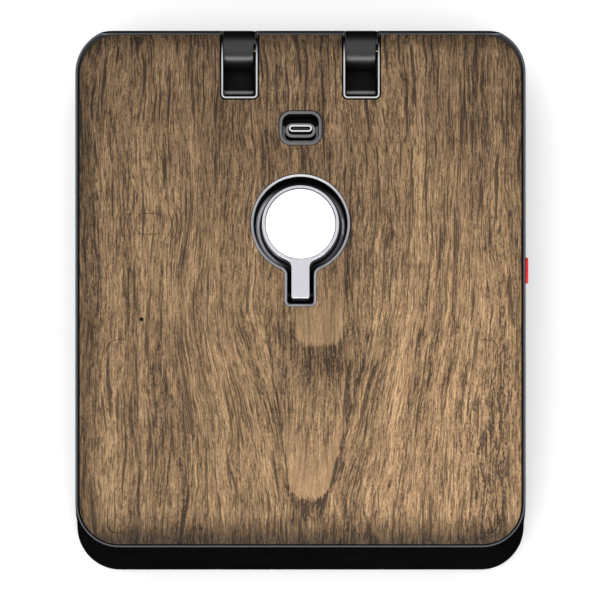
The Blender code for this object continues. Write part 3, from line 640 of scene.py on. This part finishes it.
def walnut_figure(shade, reach, comb, medium):
    """Arches that are pale behind their tip, combed dark in front of it, and have a line down each side."""
    y = shade.place[1]
    figure, calm = 0.0, 0.0
    for tip, width, widening, comb_length in ARCHES:
        bend = shade.times(shade.math("POWER", shade.times(reach, 1 / width), 4.0), 3.5)
        along = shade.minus(shade.plus(shade.minus(y, tip), shade.swing(comb, 3.2)),
                            shade.math("MINIMUM", bend, 12.0))
        margin = shade.minus(shade.plus(arch_spread(shade, tip, widening, -6.0), width), reach)
        pale = shade.times(shade.step(margin, -0.8, 0.8), shade.step(along, -0.3, 0.5),
                           shade.step(along, 26.0, 3.0))
        combed = shade.times(shade.step(margin, -3.0, 1.5), shade.step(along, 0.3, -0.5),
                             shade.step(along, -comb_length, -2.0))
        line = shade.times(shade.step(shade.math("ABSOLUTE", margin), 1.3, 0.2), shade.step(along, -4.0, 2.0),
                           shade.step(y, tip + 75.0, tip + 45.0), shade.step(medium, 0.62, 0.44))
        figure = shade.plus(figure, shade.times(pale, 0.02), shade.times(combed, -0.075),
                            shade.times(line, -0.11))
        calm = shade.most(calm, pale)
    return figure, calm


def walnut_shade_and_tone(shade, reach):
    """Painted shade on the walnut, darker to the rear and round the rolled edges; also darker to the left and
    at the heart.
    """
    x, y, _ = shade.place
    # painted shade: darker towards the hinges and round the rolled front, rear and side edges
    rear = shade.step(y, 92.0, -12.0, 0.645, 0.968)
    front_edge_shade = shade.step(y, FRONT_Y + 1.0, FRONT_Y + 14.0, 0.2, 1.0)
    rear_edge_shade = shade.step(y, WOOD_REAR, WOOD_REAR - 10.0, 0.62, 1.0)
    side_edge_shade = shade.step(shade.apart(x, 3.0), HALF_WIDTH + 1.0, HALF_WIDTH - 9.0, 0.6, 1.0)
    right = shade.step(x, -80.0, 70.0, 0.86, 1.12)
    front_right = shade.times(shade.step(x, -80.0, 70.0), shade.step(y, 90.0, -80.0, -0.08, 0.19))
    heart = shade.times(shade.step(reach, 30.0, 8.0), shade.step(y, -70.0, -30.0), shade.step(y, 70.0, 40.0))
    return shade.times(rear, right, shade.plus(0.81, front_right), front_edge_shade, rear_edge_shade, side_edge_shade,
                       shade.faded(heart, 0.2))


def walnut(name="walnut", engraved=False):
    """Oiled walnut: two crown-cut arches down the middle, straight dark-pored grain beside them."""
    shade = Shade(name)
    x, y, _ = shade.place
    grain, reach = walnut_grain(shade)
    comb = shade.noise((0.5, 7.0, 4.0), 2.0, 0.6, grain, 4.7)
    fine = shade.noise((0.42, 4.2, 2.0), 3.0, 0.62, grain, 6.1)
    medium = shade.noise((0.85, 13.0, 4.0), 3.0, 0.62, grain, 2.9)
    bands = shade.noise((6.5, 110.0, 20.0), 2.0, 0.55, grain)
    fibre = shade.noise((0.5, 1.0, 1.0), 1.0, 0.5, grain, 9.4)
    tone = shade.plus(shade.times(bands, 0.24), shade.times(fibre, 0.16), shade.times(medium, 0.28),
                      shade.times(fine, 0.32))
    figure, calm = walnut_figure(shade, reach, comb, medium)
    evened = shade.times(shade.minus(0.515, tone), calm, 0.55)
    speckle = shade.times(shade.step(shade.noise((0.55, 1.5, 2.0), 1.0, 0.5, grain, 7.4), 0.56, 0.64),
                          shade.step(x, 34.0, 60.0), shade.step(shade.apart(y, -46.0), 40.0, 16.0))
    tone = shade.plus(tone, evened, figure, shade.times(speckle, -0.045))

    # streaks, pores and flecks: grain size, roughness, seed, where they start and end, darkness
    marks = (((1.1, 24.0, 6.0), 0.5, 5.2, 0.57, 0.625, 0.84), ((0.6, 7.0, 3.0), 0.55, 3.6, 0.56, 0.615, 0.72),
             ((0.5, 2.4, 3.0), 0.55, 8.3, 0.58, 0.63, 0.62))
    dark = shade.most(*[shade.times(shade.step(shade.noise(size, 2.0, rough, grain, seed), low, high), depth)
                        for size, rough, seed, low, high, depth in marks])
    dark = shade.times(dark, shade.step(y, 60.0, -20.0, 1.0, 0.84), shade.faded(calm, 0.65))

    tint = shade.mix(shade.step(tone, 0.40, 0.50), colour(72, 57, 43), colour(156, 125, 92))
    tint = shade.mix(shade.step(tone, 0.50, 0.60), tint, colour(202, 166, 124))
    # painted shade to the rear and round the edges, with the tone across the board, darkens the colour
    tint = shade.vary(shade.mix(dark, tint, colour(58, 45, 35)), walnut_shade_and_tone(shade, reach))
    if engraved:
        tint = shade.vary(tint, shade.step(fine, 0.35, 0.65, 0.22, 0.34))
    height = shade.plus(shade.times(dark, -1.0), shade.times(fine, 0.5))
    return shade.finish(height, 0.06, 0.8, Base_Color=tint, Specular_IOR_Level=0.2,
                        Roughness=shade.plus(0.52, shade.times(dark, 0.2)))


# colour, roughness, grain, relief, then metallic and specular
METALS = {
    "black_anodised": ((9, 9, 10), 0.34, 0.3, 0.002, 0.0, 0.5),
    "black_barrel": ((10, 10, 11), 0.3, 0.22, 0.003, 0.0, 0.72),
    # a bright metal for the hinge lips' upper faces, as a painted highlight
    "lip_painted_highlight": ((124, 124, 127), 0.36, 0.25, 0.002, 0.85),
    # the rim's crest: partly polished metal, partly a painted highlight
    "rim_polish_and_highlight": ((104, 106, 114), 0.26, 0.3, 0.002, 0.9),
    "notch_wall": ((10, 10, 11), 0.5, 0.3, 0.002, 0.0, 0.2),
    "well_rim": ((182, 182, 187), 0.48, 0.3, 0.004, 0.6),
    "bright_aluminium": ((246, 246, 250), 0.24, 0.2, 0.004),
    "blasted_aluminium": ((219, 218, 226), 0.42, 0.16, 0.006),
    "brass": ((214, 176, 130), 0.25, (4.0, 0.12, 0.12), 0.002),
    "steel": ((214, 214, 217), 0.24, (2.0, 0.2, 0.2), 0.002),
    "copper": ((202, 122, 82), 0.35, 0.6, 0.02),
}
# colour, roughness, grain, relief, then specular and sheen
PLASTICS = {
    # painted shade: near black for the wood's cut edges in the gaps round it
    "wood_edge_painted_shade": ((20, 15, 12), 0.7, 0.5, 0.01, 0.1),
    "white_polymer": ((252, 252, 253), 0.28, 0.5, 0.001),
    "pale_grip": ((138, 138, 141), 0.42, 0.3, 0.006),
    "grey_polymer": ((92, 92, 95), 0.5, 0.3, 0.008),
    # painted shade: near black for deep wells and the walls in them
    "painted_shade_black": ((8, 8, 9), 0.6, 0.3, 0.004, 0.2),
    "black_polymer": ((26, 26, 28), 0.5, 0.4, 0.01, 0.4),
    "red_polymer": ((236, 26, 30), 0.35, 0.4, 0.003),
    "clear_polymer": ((40, 36, 34), 0.15, 0.6, 0.001),
    "rubber": ((30, 30, 31), 0.8, 0.5, 0.02, 0.3, 0.1),
    "ferrite": ((66, 66, 70), 0.7, 0.6, 0.02),
}
MATERIALS = {
    **{name: metal(name, *values) for name, values in METALS.items()},
    **{name: moulded(name, *values) for name, values in PLASTICS.items()},
    "walnut": walnut(),
    "walnut_engraved": walnut("walnut_engraved", True),
    "trim_edge": trim_edge(),
    "trough": trough(),
    "felt": felt(),
    "circuit_board": board(),
}


# ------------ base
def build_case():
    """The case: rounded foot, straight wall, crisp upper edge, open tray."""
    def wall(inward):
        return case_outline(BASE_INSET + inward)

    shell = make_object("case_shell", layers(*rounded(wall, 0.6, -0.6, BASE_LOW, 7)[::-1],
                                             *rounded(wall, 0.3, 0.3, BASE_TOP, 3)))
    below, above = HINGE_ROOM_TOP - CLEAR, BASE_TOP + CLEAR
    cut(shell, prism(pocket_outline("felt_liner", CORNER_RADIUS - 4.2), tray_low.z - GAP, above),
        prism(case_outline(CASE_WALL), BASE_LOW - CLEAR, CAVITY_TOP),
        block((-HINGE_ROOM_HALF, HINGE_ROOM_FRONT, CAVITY_TOP - CLEAR),
              (HINGE_ROOM_HALF, REAR_Y - CASE_WALL, HINGE_ROOM_TOP)))
    cuts = [bore((x, y), 1.6, below, above) for x in BARREL_X.values() for y in ARM_SCREW_Y]
    cuts.append(bore((middle("base_lead").x, span("base_lead")[1].y - 1.3), 1.9, below, above))
    inlet = stadium(0.0, middle("power_inlet").z, 4.8, 1.9, 10)
    cuts.append(loft([[(x, y, z) for x, z in inlet] for y in (REAR_Y - CASE_WALL - CLEAR, REAR_Y + CLEAR)]))
    for side in ("left", "right"):
        low, high = span(f"base_magnet_{side}")
        cuts.append(block(low - Vector((GAP,) * 3), (high.x + GAP, high.y + GAP, above)))
        cuts.append(bore(middle(f"lid_bumper_{side}").xy, 1.6, BASE_TOP - 1.2, above))
    cut(shell, *cuts)
    soften(shell, 0.18, 40)
    finish_piece(shell, "base", "black_anodised", "base_shell")


def build_feet():
    """Domed rubber feet with a fine step."""
    for label in ("front_left", "front_right", "rear_left", "rear_right"):
        low, high = span(f"foot_{label}")
        radius = (high.x - low.x) / 2
        profile = [(radius - inset, low.z + up) for inset, up in
                   ((1.9, 0.0), (1.1, 0.02), (0.65, 0.12), (0.35, 0.35), (0.3, 0.6), (0.0, 0.7))]
        profile.append((radius, high.z))
        foot = make_object(f"rubber_foot_{label}", turned(middle(f"foot_{label}").xy, profile))
        finish_piece(foot, "base", "rubber", f"foot_{label}")


def build_felt():
    """A felt tray: rolled lip, coved floor corners, and a surface that isn't quite even."""
    thick, cove, lip, floor_steps = 1.2, 3.2, 0.6, 18
    low, high = tray_low, tray_high
    corner, lip_low, floor = CORNER_RADIUS - 4.5, high.z - lip, low.z + thick

    def outline(inset, radius):
        return rounded_rectangle(low, high, max(radius, 1.0), 14, inset)

    levels = [(outline(0.0, corner), low.z), (outline(0.0, corner), lip_low)]
    levels += [(outline(lip * (1 - math.cos(a)), corner - 0.4), lip_low + lip * math.sin(a))
               for a in (math.pi * i / 8 for i in range(1, 8))]
    levels += [(outline(thick, corner - thick), z) for z in (lip_low, floor + cove)]
    levels += rounded(lambda inward: outline(thick + inward, corner - thick - 0.8 * inward),
                      cove, -cove, floor, 7, 1)
    levels += [(outline(thick + cove + 3.4 * i, corner - thick - 0.8 * cove - i), floor)
               for i in range(1, floor_steps + 1)]
    tray = make_object("felt_tray", layers(*levels))
    subdivide = tray.modifiers.new("even", "SUBSURF")
    subdivide.subdivision_type, subdivide.levels, subdivide.render_levels = "SIMPLE", 2, 2
    settle(tray)
    draw = random.Random(7)
    waves = [(draw.uniform(0.03, 0.11), draw.uniform(0.03, 0.11), draw.uniform(0, 6.28)) for _ in range(6)]
    for vertex in tray.data.vertices:
        x, y, z = vertex.co / MM
        if low.z + 0.2 <= z < floor + 0.3:
            swell = sum(math.sin(kx * x + ky * y + shift) for kx, ky, shift in waves) / len(waves)
            vertex.co.z += (0.22 * swell + 0.1) * MM
    finish_piece(tray, "base", "felt", "felt_liner", smooth=60)


def hinge_profile(front, bottom):
    """Section of a hinge arm: leaf on the base, turned-up front lip, barrel at the rear."""
    leaf_angle = math.degrees(math.asin((LEAF_TOP - AXIS_Z) / HINGE_RADIUS))
    lip_rear, lip_round = front + LIP_DEPTH, LIP_DEPTH / 2 - 0.05
    profile = [(front, bottom)] + arc(AXIS, HINGE_RADIUS, -90, 180 - leaf_angle, 72)
    profile += arc((lip_rear + 1.5, LEAF_TOP + 1.5), 1.5, 270, 180, 8)
    profile += arc((lip_rear - lip_round, LIP_TOP - lip_round), lip_round, 0, 150, 16)
    return profile + [(front, LIP_TOP - 2 * lip_round)]


def build_hinge_arms():
    """Hinge arms with softly rounded barrel ends and cheeks that fill the notch beside them."""
    reach = TRIM_INNER - 0.05
    for side, x in BARREL_X.items():
        low, high = span(f"hinge_arm_{side}")
        arm = make_object(f"barrel_arm_{side}", side_prism(hinge_profile(low.y, low.z), low.x, high.x))
        cut(arm, rod(x - 8, x + 8, *AXIS, PIN_BORE),
            *[bore((x, y), ARM_SCREW_BORE, low.z - CLEAR, LEAF_TOP - 0.8) for y in ARM_SCREW_Y])
        soften(arm, 0.35, 34, 3)
        cheek = arc(AXIS, HINGE_RADIUS - 0.12, -80, 84, 30)
        cheek += arc(AXIS, 2 * PIN_RADIUS, 84, -80, 12)
        weld(arm, side_prism(cheek, NOTCH_X[side] - reach, NOTCH_X[side] + reach))
        finish_piece(arm, "base", "black_anodised", f"hinge_arm_{side}", paint="black_barrel")
        # painted shade: the leaf deep in the notch is painted near black
        repaint(arm, "painted_shade_black", lambda c, n: low.y + 2.0 < c.y < AXIS_Y - 2.0 and c.z < LEAF_TOP + 1.5)
        # painted highlight: the lip's upward faces take a bright metal
        repaint(arm, "lip_painted_highlight", lambda c, n: c.y < low.y + 2.4 and c.z > LIP_TOP - 2.0 and n.z > 0.25)


# ------------ lid
def build_lid_frame():
    """Frame of the lid: black wall, rounded rim whose crest is bright, partly polish and partly painted
    highlight, hinge block at the rear.
    """
    levels = [(case_outline(0.3), LID_BOTTOM), (case_outline(0.08), LID_BOTTOM + 0.1),
              (case_outline(0.0), LID_BOTTOM + 0.3)]
    levels += rounded(case_outline, RIM_ROUND, RIM_ROUND, RIM_TOP, 7)
    levels += rounded(lambda inward: case_outline(1.9 * RIM_ROUND - inward),
                      0.9 * RIM_ROUND, 0.75 * RIM_ROUND, RIM_TOP, 6)[-2::-1]
    levels.append((case_outline(2.5), RIM_TOP - RIM_ROUND))
    body = make_object("lid_case", layers(*levels))
    trim(body, half_round_limit())
    weld(body, rod(-REAR_BEAD_END, REAR_BEAD_END, REAR_BEAD_Y, RIM_TOP - REAR_BEAD, REAR_BEAD))
    under, over = LID_BOTTOM - CLEAR, HEIGHT + CLEAR
    cut(body, prism(case_outline(WOOD_RECESS, WOOD_REAR + WOOD_RECESS + 0.15), WEB_TOP, over),
        prism(pocket_outline("lid_cover", CORNER_RADIUS - 2.7), under, LID_CAVITY_TOP))
    cuts = []
    for x in NOTCH_X.values():
        cuts += [prism(notch_outline(x, TRIM_EDGE + 0.04, TRIM_FRONT + 0.16, 1.55), under, over),
                 rod(x - 13, x + 13, *AXIS, PIN_BORE)]
    web_low, web_high = LID_CAVITY_TOP - CLEAR, WEB_TOP + CLEAR
    cut(body, *cuts, prism(usb_outline(GAP), web_low, web_high),
        prism(well_outline(GAP, 1.4), web_low, web_high),
        bore((LIGHT_X, LIGHT_Y), 1.3, web_low, web_high),
        side_prism(stadium(BUTTON.y, BUTTON.z, 4.95, 2.0, 10), HALF_WIDTH - 3.7, HALF_WIDTH + CLEAR),
        block((-1.7, 65, under), (1.7, 80, LID_BOTTOM + 4.2)))
    weld(body, *[bore(place, 3.4, LID_BOTTOM + 1.9, LID_CAVITY_TOP + 0.5, 32) for place in COVER_BOSSES])
    cut(body, *[bore(place, 1.4, LID_BOTTOM + 0.6, LID_CAVITY_TOP - 0.8) for place in COVER_BOSSES])
    soften(body, 0.12, 40)
    finish_piece(body, "lid", "black_anodised", "lid_frame")

    # the crest's upward faces, and more of the rear bead, take the bright metal: partly polish, partly
    # painted highlight
    def on_rim(centre, normal):
        bead = centre.y > REAR_BEAD_Y - 0.3 and abs(centre.x) < REAR_BEAD_END
        return centre.z > RIM_TOP - 0.3 * RIM_ROUND and normal.z > (0.7 if bead else 0.9)
    repaint(body, "rim_polish_and_highlight", on_rim)


def build_wood():
    """Walnut top: flat in the middle, rolled down at every edge, cut for hinges, plug, watch and light."""
    steps = 18
    rolled = [PILLOW_WIDTH * (i / steps) ** 1.3 for i in range(steps + 1)]
    levels = [(wood_outline(0.0), wood_low.z)] + [(wood_outline(d), pillow_height(d)) for d in rolled]
    top = make_object("walnut_top", layers(*levels))
    low, high = wood_low.z - CLEAR, HEIGHT + CLEAR
    notches = [notch_outline(x, TRIM_OUTER + 0.38, TRIM_FRONT - 0.38, 2.1) for x in NOTCH_X.values()]
    openings = notches + [usb_outline(0.2), well_outline(0.2, 2.1)]
    cut(top, *[prism(outline, low, high) for outline in openings],
        bore((LIGHT_X, LIGHT_Y), 0.75, low, high, 32))
    soften(top, 0.14, 42)
    finish_piece(top, "lid", "walnut", "wood_panel")
    # painted shade: the wood's upright cut faces are painted near black
    repaint(top, "wood_edge_painted_shade", lambda c, n: abs(n.z) < 0.3)


def build_notch_trims():
    """U-shaped liners of the hinge notches: bright upper edge, black walls."""
    angle = math.degrees(math.asin((RIM_TOP - AXIS_Z) / HINGE_RADIUS))
    section = [(TRIM_FRONT - CLEAR, LID_BOTTOM)] + arc(AXIS, HINGE_RADIUS, -90, angle, 36)
    section += [(WOOD_REAR - d, pillow_height(d)) for d in (PILLOW_WIDTH * i / 14 for i in range(15))]
    section.append((TRIM_FRONT - CLEAR, HEIGHT))
    low, high = LID_BOTTOM - CLEAR, HEIGHT + CLEAR
    for side, x in NOTCH_X.items():
        liner = make_object(f"notch_liner_{side}", side_prism(section, x - TRIM_EDGE, x + TRIM_EDGE))
        trim(liner, prism(notch_outline(x, TRIM_EDGE, TRIM_FRONT + 0.2, 1.5), low, high))
        inside = notch_outline(x, TRIM_INNER, TRIM_FRONT + TRIM_WALL, 1.0, REAR_Y + 8)
        cut(liner, prism(inside, low - CLEAR, high + CLEAR), rod(x - 9, x + 9, *AXIS, PIN_BORE))
        soften(liner, 0.12, 50, 3)
        finish_piece(liner, "lid", "bright_aluminium", f"notch_trim_{side}", paint="trim_edge")
        repaint(liner, "notch_wall", lambda c, n: n.z < 0.8)


def build_hinge_pins():
    """Brass pins, turned down where they show between barrel and liner."""
    for side, x in NOTCH_X.items():
        low, high = span(f"hinge_pin_{side}")
        barrel_low, barrel_high = span(f"hinge_arm_{side}")
        stations = [(low.x, PIN_RADIUS - 0.3), (low.x + 0.3, PIN_RADIUS)]
        for start, end in ((x - TRIM_INNER, barrel_low.x), (barrel_high.x, x + TRIM_INNER)):
            stations += [(start - 0.5, PIN_RADIUS), (start - 0.3, PIN_NECK),
                         (end + 0.3, PIN_NECK), (end + 0.5, PIN_RADIUS)]
        stations += [(high.x - 0.3, PIN_RADIUS), (high.x, PIN_RADIUS - 0.3)]
        shape = loft([[(px, y, z) for y, z in circle(*AXIS, radius, 28)] for px, radius in stations])
        finish_piece(make_object(f"brass_pin_{side}", shape), "lid", "brass", f"hinge_pin_{side}")


def build_keyhole_well():
    """Keyhole cup: bright chamfered rim, coved trough painted dark as shade, with a painted sheen."""
    low, high = span("keyhole_well")
    radius, wall = (high.x - low.x) / 2, WELL_WALL

    def outline(inset):
        corner = max(1.9 - 0.85 * inset, 0.3)
        return keyhole(radius - inset, WELL_NECK - inset, WELL_END + inset, 2.2 + inset, corner)

    def in_trough(centre, normal):
        neck = abs(centre.x) < WELL_NECK - 0.55 and WELL_END + 0.7 < centre.y < WATCH_Y
        return centre.z < high.z - 0.55 and (neck or math.hypot(centre.x, centre.y - WATCH_Y) < radius - 0.6)

    levels = [(outline(inset), z) for inset, z in
              ((0.0, low.z), (0.0, high.z - 0.12), (0.06, high.z - 0.02), (0.16, high.z),
               (wall - 0.06, high.z - 0.42), (wall, high.z - 0.5), (wall, TROUGH_FLOOR + TROUGH_WIDTH))]
    levels += rounded(lambda inward: outline(wall + inward), TROUGH_WIDTH, -TROUGH_WIDTH, TROUGH_FLOOR, 12, 1)
    well = make_object("keyhole_cup", layers(*levels))
    cut(well, rod(-6.75, 6.75, FLIP_Y, FLIP_Z, 0.95))
    finish_piece(well, "lid", "bright_aluminium", "keyhole_well", paint="well_rim", smooth=34)
    # the trough's faces carry painted shade and a painted sheen
    repaint(well, "trough", in_trough)


def build_usb():
    """USB-C plug: bezel and a well painted black as shade, with a front ledge, grey boot, plated shell,
    contact tongue.
    """
    low, high = span("usb_well")
    well = make_object("usb_cup", layers((usb_outline(0.0), low.z), (usb_outline(0.0), high.z - 0.15),
                                         (usb_outline(-0.18), high.z)))
    cut(well, prism(usb_outline(-USB_BEZEL), USB_FLOOR, high.z + CLEAR))
    soften(well, 0.2, 40)
    finish_piece(well, "lid", "grey_polymer", "usb_well")
    # painted shade: the well's walls and floor below the bezel are painted near black
    repaint(well, "painted_shade_black", lambda c, n: c.z < high.z - 0.5 and abs(c.x) < USB_HALF[0] - 0.6)

    levels = [(usb_outline(-1.15), USB_FLOOR + 0.05), (usb_outline(-1.15), 41.4), (usb_outline(-1.35), 41.7)]
    ledge = make_object("usb_ledge", layers(*levels))
    ramp = side_prism([(USB_Y - 2.6, 44.0), (USB_Y + 9, 36.0), (USB_Y + 9, 44.0)], -9, 9)
    cut(ledge, prism(usb_outline(-2.05), USB_FLOOR - CLEAR, high.z + CLEAR),
        block((-9, USB_Y + 1.2, USB_FLOOR - CLEAR), (9, USB_Y + 9, high.z + CLEAR)), ramp)
    soften(ledge, 0.12, 40)
    finish_piece(ledge, "lid", "grey_polymer")
    # painted shade on the ledge's upright walls
    repaint(ledge, "painted_shade_black", lambda c, n: n.z < 0.3)

    def sleeve(name, node, length, width, wall, floor, edge, segments=EDGE_STEPS):
        """A hollow stadium that stands in the well, with its edges rounded."""
        base, top = span(node)
        tube = make_object(name, prism(stadium(0.0, USB_Y, length, width), base.z, top.z))
        cut(tube, prism(stadium(0.0, USB_Y, length - wall, width - wall), floor, top.z + CLEAR))
        soften(tube, edge, 40, segments)
        return tube

    boot = sleeve("usb_grip", "usb_boot", 5.65, 2.7, 1.35, USB_FLOOR + 2.4, 0.4, 4)
    finish_piece(boot, "lid", "grey_polymer", "usb_boot", paint="pale_grip")
    # painted shade on the boot's sides, underside and rear-facing bevels; its upper faces keep the pale grey
    repaint(boot, "painted_shade_black", lambda c, n: n.z < 0.15 or (n.y > 0.3 and n.z < 0.9))
    shell = sleeve("usb_sleeve", "usb_shell", 4.15, 1.2, 0.53, USB_FLOOR + 3.3, 0.1)
    finish_piece(shell, "lid", "steel", "usb_shell", paint="bright_aluminium")
    # painted shade on the shell's walls; only its top edge stays bright
    repaint(shell, "painted_shade_black", lambda c, n: n.z < 0.1)

    base, top = span("usb_contacts")
    tongue = make_object("usb_tongue", prism(stadium(0.0, USB_Y, 3.2, 0.35, 6), base.z, top.z))
    grooves = [block((x - 0.14, USB_Y - 0.5, top.z - 2.2), (x + 0.14, USB_Y - 0.27, top.z + CLEAR))
               for x in (i * 0.5 - 2.75 for i in range(12))]
    cut(tongue, *grooves)
    finish_piece(tongue, "lid", "brass", "usb_contacts", paint="black_polymer")


def ribbon(points):
    """A thin bar that follows points on the wood, with its top just proud of it."""
    loops = []
    for i, (x, y) in enumerate(points):
        before, after = points[max(i - 1, 0)], points[min(i + 1, len(points) - 1)]
        along = Vector((after[0] - before[0], after[1] - before[1])).normalized()
        nx, ny = -along.y * MARK_WIDTH / 2, along.x * MARK_WIDTH / 2
        low, high = wood_height(x, y) - MARK_DEPTH, wood_height(x, y) + MARK_LIFT
        loops.append([(x - nx, y - ny, low), (x + nx, y + ny, low),
                      (x + nx * 0.8, y + ny * 0.8, high), (x - nx * 0.8, y - ny * 0.8, high)])
    return loft(loops)


def build_marks():
    """Etched corners of the phone zone and a plain coil mark for the earbud zone."""
    left, right, rear, front = PHONE_ZONE
    radius, leg_x, leg_y = 3.2, 2.8, 5.6
    corners = (("rear_right", right, rear, 1, 1), ("rear_left", left, rear, -1, 1),
               ("front_left", left, front, -1, -1), ("front_right", right, front, 1, -1))
    curves = {}
    for quarter, (label, x, y, side, way) in enumerate(corners):
        centre = (x - side * radius, y - way * radius)
        bend = [Vector(point) for point in arc(centre, radius, 90 * quarter, 90 * quarter + 90, 14)]
        legs = [Vector((0.0, -way * leg_y)), Vector((-side * leg_x, 0.0))]
        first, last = legs[::-1] if quarter % 2 else legs
        curves[f"zone_mark_{label}"] = [bend[0] + first] + bend + [bend[-1] + last]
    case = rounded_rectangle((EARBUD_X - 4.8, EARBUD_Y - 3.75), (EARBUD_X + 4.8, EARBUD_Y + 3.75), 2.6, 8)
    curves["earbud_mark_case"] = case + [case[0]]
    for side, facing in (("right", 0), ("left", 180)):
        for number, (reach, half) in enumerate(((8.0, 31), (10.3, 34), (12.0, 37))):
            curve = arc((EARBUD_X, EARBUD_Y), reach, facing - half, facing + half, 12)
            curves[f"earbud_mark_{side}_{number}"] = curve
    for name, curve in curves.items():
        finish_piece(make_object(name, ribbon(curve)), "lid", "walnut", paint="walnut_engraved")


# ------------ watch charger and button
def build_watch_arm():
    """Lollipop arm with polished edges, and the white charging disc let into it."""
    low, high = span("watch_arm")
    disc_low, disc_high = span("watch_disc")
    radius, disc_radius = (high.x - low.x) / 2, (disc_high.x - disc_low.x) / 2
    neck, edge, centre = 3.32, 0.34, (0.0, WATCH_Y)

    def outline(inset):
        return keyhole(radius - inset, neck - inset, low.y + inset, 3.0 + inset, 0.8)

    arm = make_object("watch_paddle", layers(*rounded(outline, 0.4, -0.4, low.z, 4)[::-1],
                                             *rounded(outline, edge, edge, high.z, 5)))
    seat = [(disc_radius + 0.3, 40.6), (disc_radius + 0.3, high.z - 0.12), (disc_radius + 0.5, high.z + 0.08),
            (disc_radius + 0.5, high.z + CLEAR)]
    cut(arm, turned(centre, seat, 96), rod(-neck - CLEAR, neck + CLEAR, FLIP_Y, FLIP_Z, 1.05))
    finish_piece(arm, "watch_charger", "bright_aluminium", "watch_arm", paint="blasted_aluminium")
    repaint(arm, "bright_aluminium", lambda c, n: c.z > high.z - edge and n.z < 0.97)

    profile = [(disc_radius - 0.2, disc_low.z), (disc_radius, disc_low.z + 0.2)]
    profile += rounded(lambda inward: disc_radius - inward, 0.4, 0.35, disc_high.z - 0.1, 6)
    profile += [(disc_radius - 3.0, disc_high.z - 0.03), (disc_radius - 7.0, disc_high.z)]
    disc = make_object("watch_pad", turned(centre, profile, 96))
    finish_piece(disc, "watch_charger", "white_polymer", "watch_disc")


def build_button():
    """Red button with a rounded face, kept in by a flange inside the wall."""
    low, high = span("side_button")
    inner = HALF_WIDTH - 3.0

    def outline(grow, ends=0.0):
        return stadium(BUTTON.y, BUTTON.z, 4.65 + grow + ends, 1.7 + grow, 10)

    levels = [(outline(0.6, 0.6), low.x), (outline(0.6, 0.6), inner), (outline(0.0), inner)]
    levels += rounded(lambda inward: outline(-inward), 0.5, 0.4, high.x, 6)
    shape = loft([[(x, y, z) for y, z in points] for points, x in levels])
    finish_piece(make_object("red_button", shape), "button", "red_polymer", "side_button")


# ------------ studio
def build_floor():
    """A plain pale floor that the black case doesn't mirror."""
    half = 16000.0
    corners = [(-half, -half, 0), (half, -half, 0), (half, half, 0), (-half, half, 0)]
    floor = make_object("studio_floor", (corners, [(0, 1, 2, 3)]))
    shade = Shade("studio_floor")
    tone = shade.step(shade.noise(400.0, 2.0), 0.3, 0.7, 0.995, 1.0)
    shade.fill(shade.shader, Base_Color=shade.vary(colour(252, 252, 252), tone), Roughness=0.9,
               Specular_IOR_Level=0.1, Emission_Color=(1, 1, 1, 1), Emission_Strength=0.1)
    floor.data.materials.append(shade.material)
    floor.visible_glossy = False


def build_world():
    """Studio surroundings: overhead softbox, front strip, dim sides; mirrors see the rear dark."""
    world = bpy.data.worlds.new("studio")
    world.use_nodes = True
    nodes = Nodes(world.node_tree)
    x, y, z = nodes.split(nodes.add("ShaderNodeTexCoord").outputs["Generated"])
    path = nodes.add("ShaderNodeLightPath").outputs
    softbox = nodes.step(nodes.plus(nodes.times(y, 0.22), nodes.times(z, 0.975)), 0.74, 0.86)
    strip = nodes.times(nodes.step(nodes.apart(z, 0.50), 0.17, 0.07), nodes.step(y, -0.45, -0.70))
    flanks = nodes.plus(nodes.step(x, -0.35, -0.75, 0.0, 0.6), nodes.step(x, 0.45, 0.85, 0.0, 0.45))
    rear = nodes.times(nodes.step(y, 0.2, 0.8), nodes.step(z, 0.75, 0.35, 0.0, 0.8),
                       nodes.minus(1.0, path["Is Diffuse Ray"]))
    sky = nodes.times(nodes.step(z, -0.10, 0.75, 0.0, 0.55), nodes.minus(1.0, rear))
    light = nodes.plus(nodes.times(softbox, 0.45), nodes.times(strip, 5.0),
                       nodes.times(flanks, nodes.step(z, 0.1, 0.35)), sky)
    tint = nodes.mix(path["Is Camera Ray"], nodes.point(light, light, light), (1.0, 1.0, 1.0, 1.0))
    nodes.feed(nodes.tree.nodes["Background"].inputs["Color"], tint)
    bpy.context.scene.world = world


def build_key_light():
    """One large soft lamp above, for shadows; the metals don't mirror it."""
    lamp = bpy.data.lights.new("key", "AREA")
    lamp.shape, lamp.size, lamp.size_y, lamp.energy = "RECTANGLE", 1.8, 1.4, 14.0
    key = add_object("key", lamp)
    key.location = (-0.2, -0.1, 2.0)
    key.rotation_euler = key.location.to_track_quat("Z", "Y").to_euler()
    key.visible_glossy = False
    key.visible_camera = False


def build_camera():
    """A shifted lens: the lid stays square to the frame while the front wall shows."""
    lens = bpy.data.cameras.new("camera")
    camera, rig = add_object("camera", lens), add_object("camera_rig", None)
    x, y, z = CAMERA_TARGET
    slope, height = CAMERA_SLOPE, CAMERA_HEIGHT
    camera.parent = rig
    camera.matrix_parent_inverse = Matrix(((1, 0, 0, x), (0, 1, -slope, y - slope * height),
                                           (0, 0, 1, z + height), (0, 0, 0, 1)))
    lens.sensor_width = 36
    lens.lens = lens.sensor_width * height * math.sqrt(1 + slope * slope) / VIEW_WIDTH
    lens.clip_end = 100
    bpy.context.scene.camera = camera


# ------------ assembly
for node in frame["nodes"].values():
    for index, slot in enumerate(node.material_slots):
        finish = slot.material.name.split(".")[0] if slot.material else ""
        slot.material = MATERIALS.get(finish, MATERIALS["black_polymer"])
frame["nodes"]["flip_pin"].material_slots[0].material = MATERIALS["notch_wall"]

for build in (build_case, build_feet, build_felt, build_hinge_arms, build_lid_frame, build_wood,
              build_notch_trims, build_hinge_pins, build_keyhole_well, build_usb, build_marks,
              build_watch_arm, build_button, build_floor, build_world, build_key_light, build_camera):
    build()
bpy.context.scene.view_settings.view_transform = "Standard"
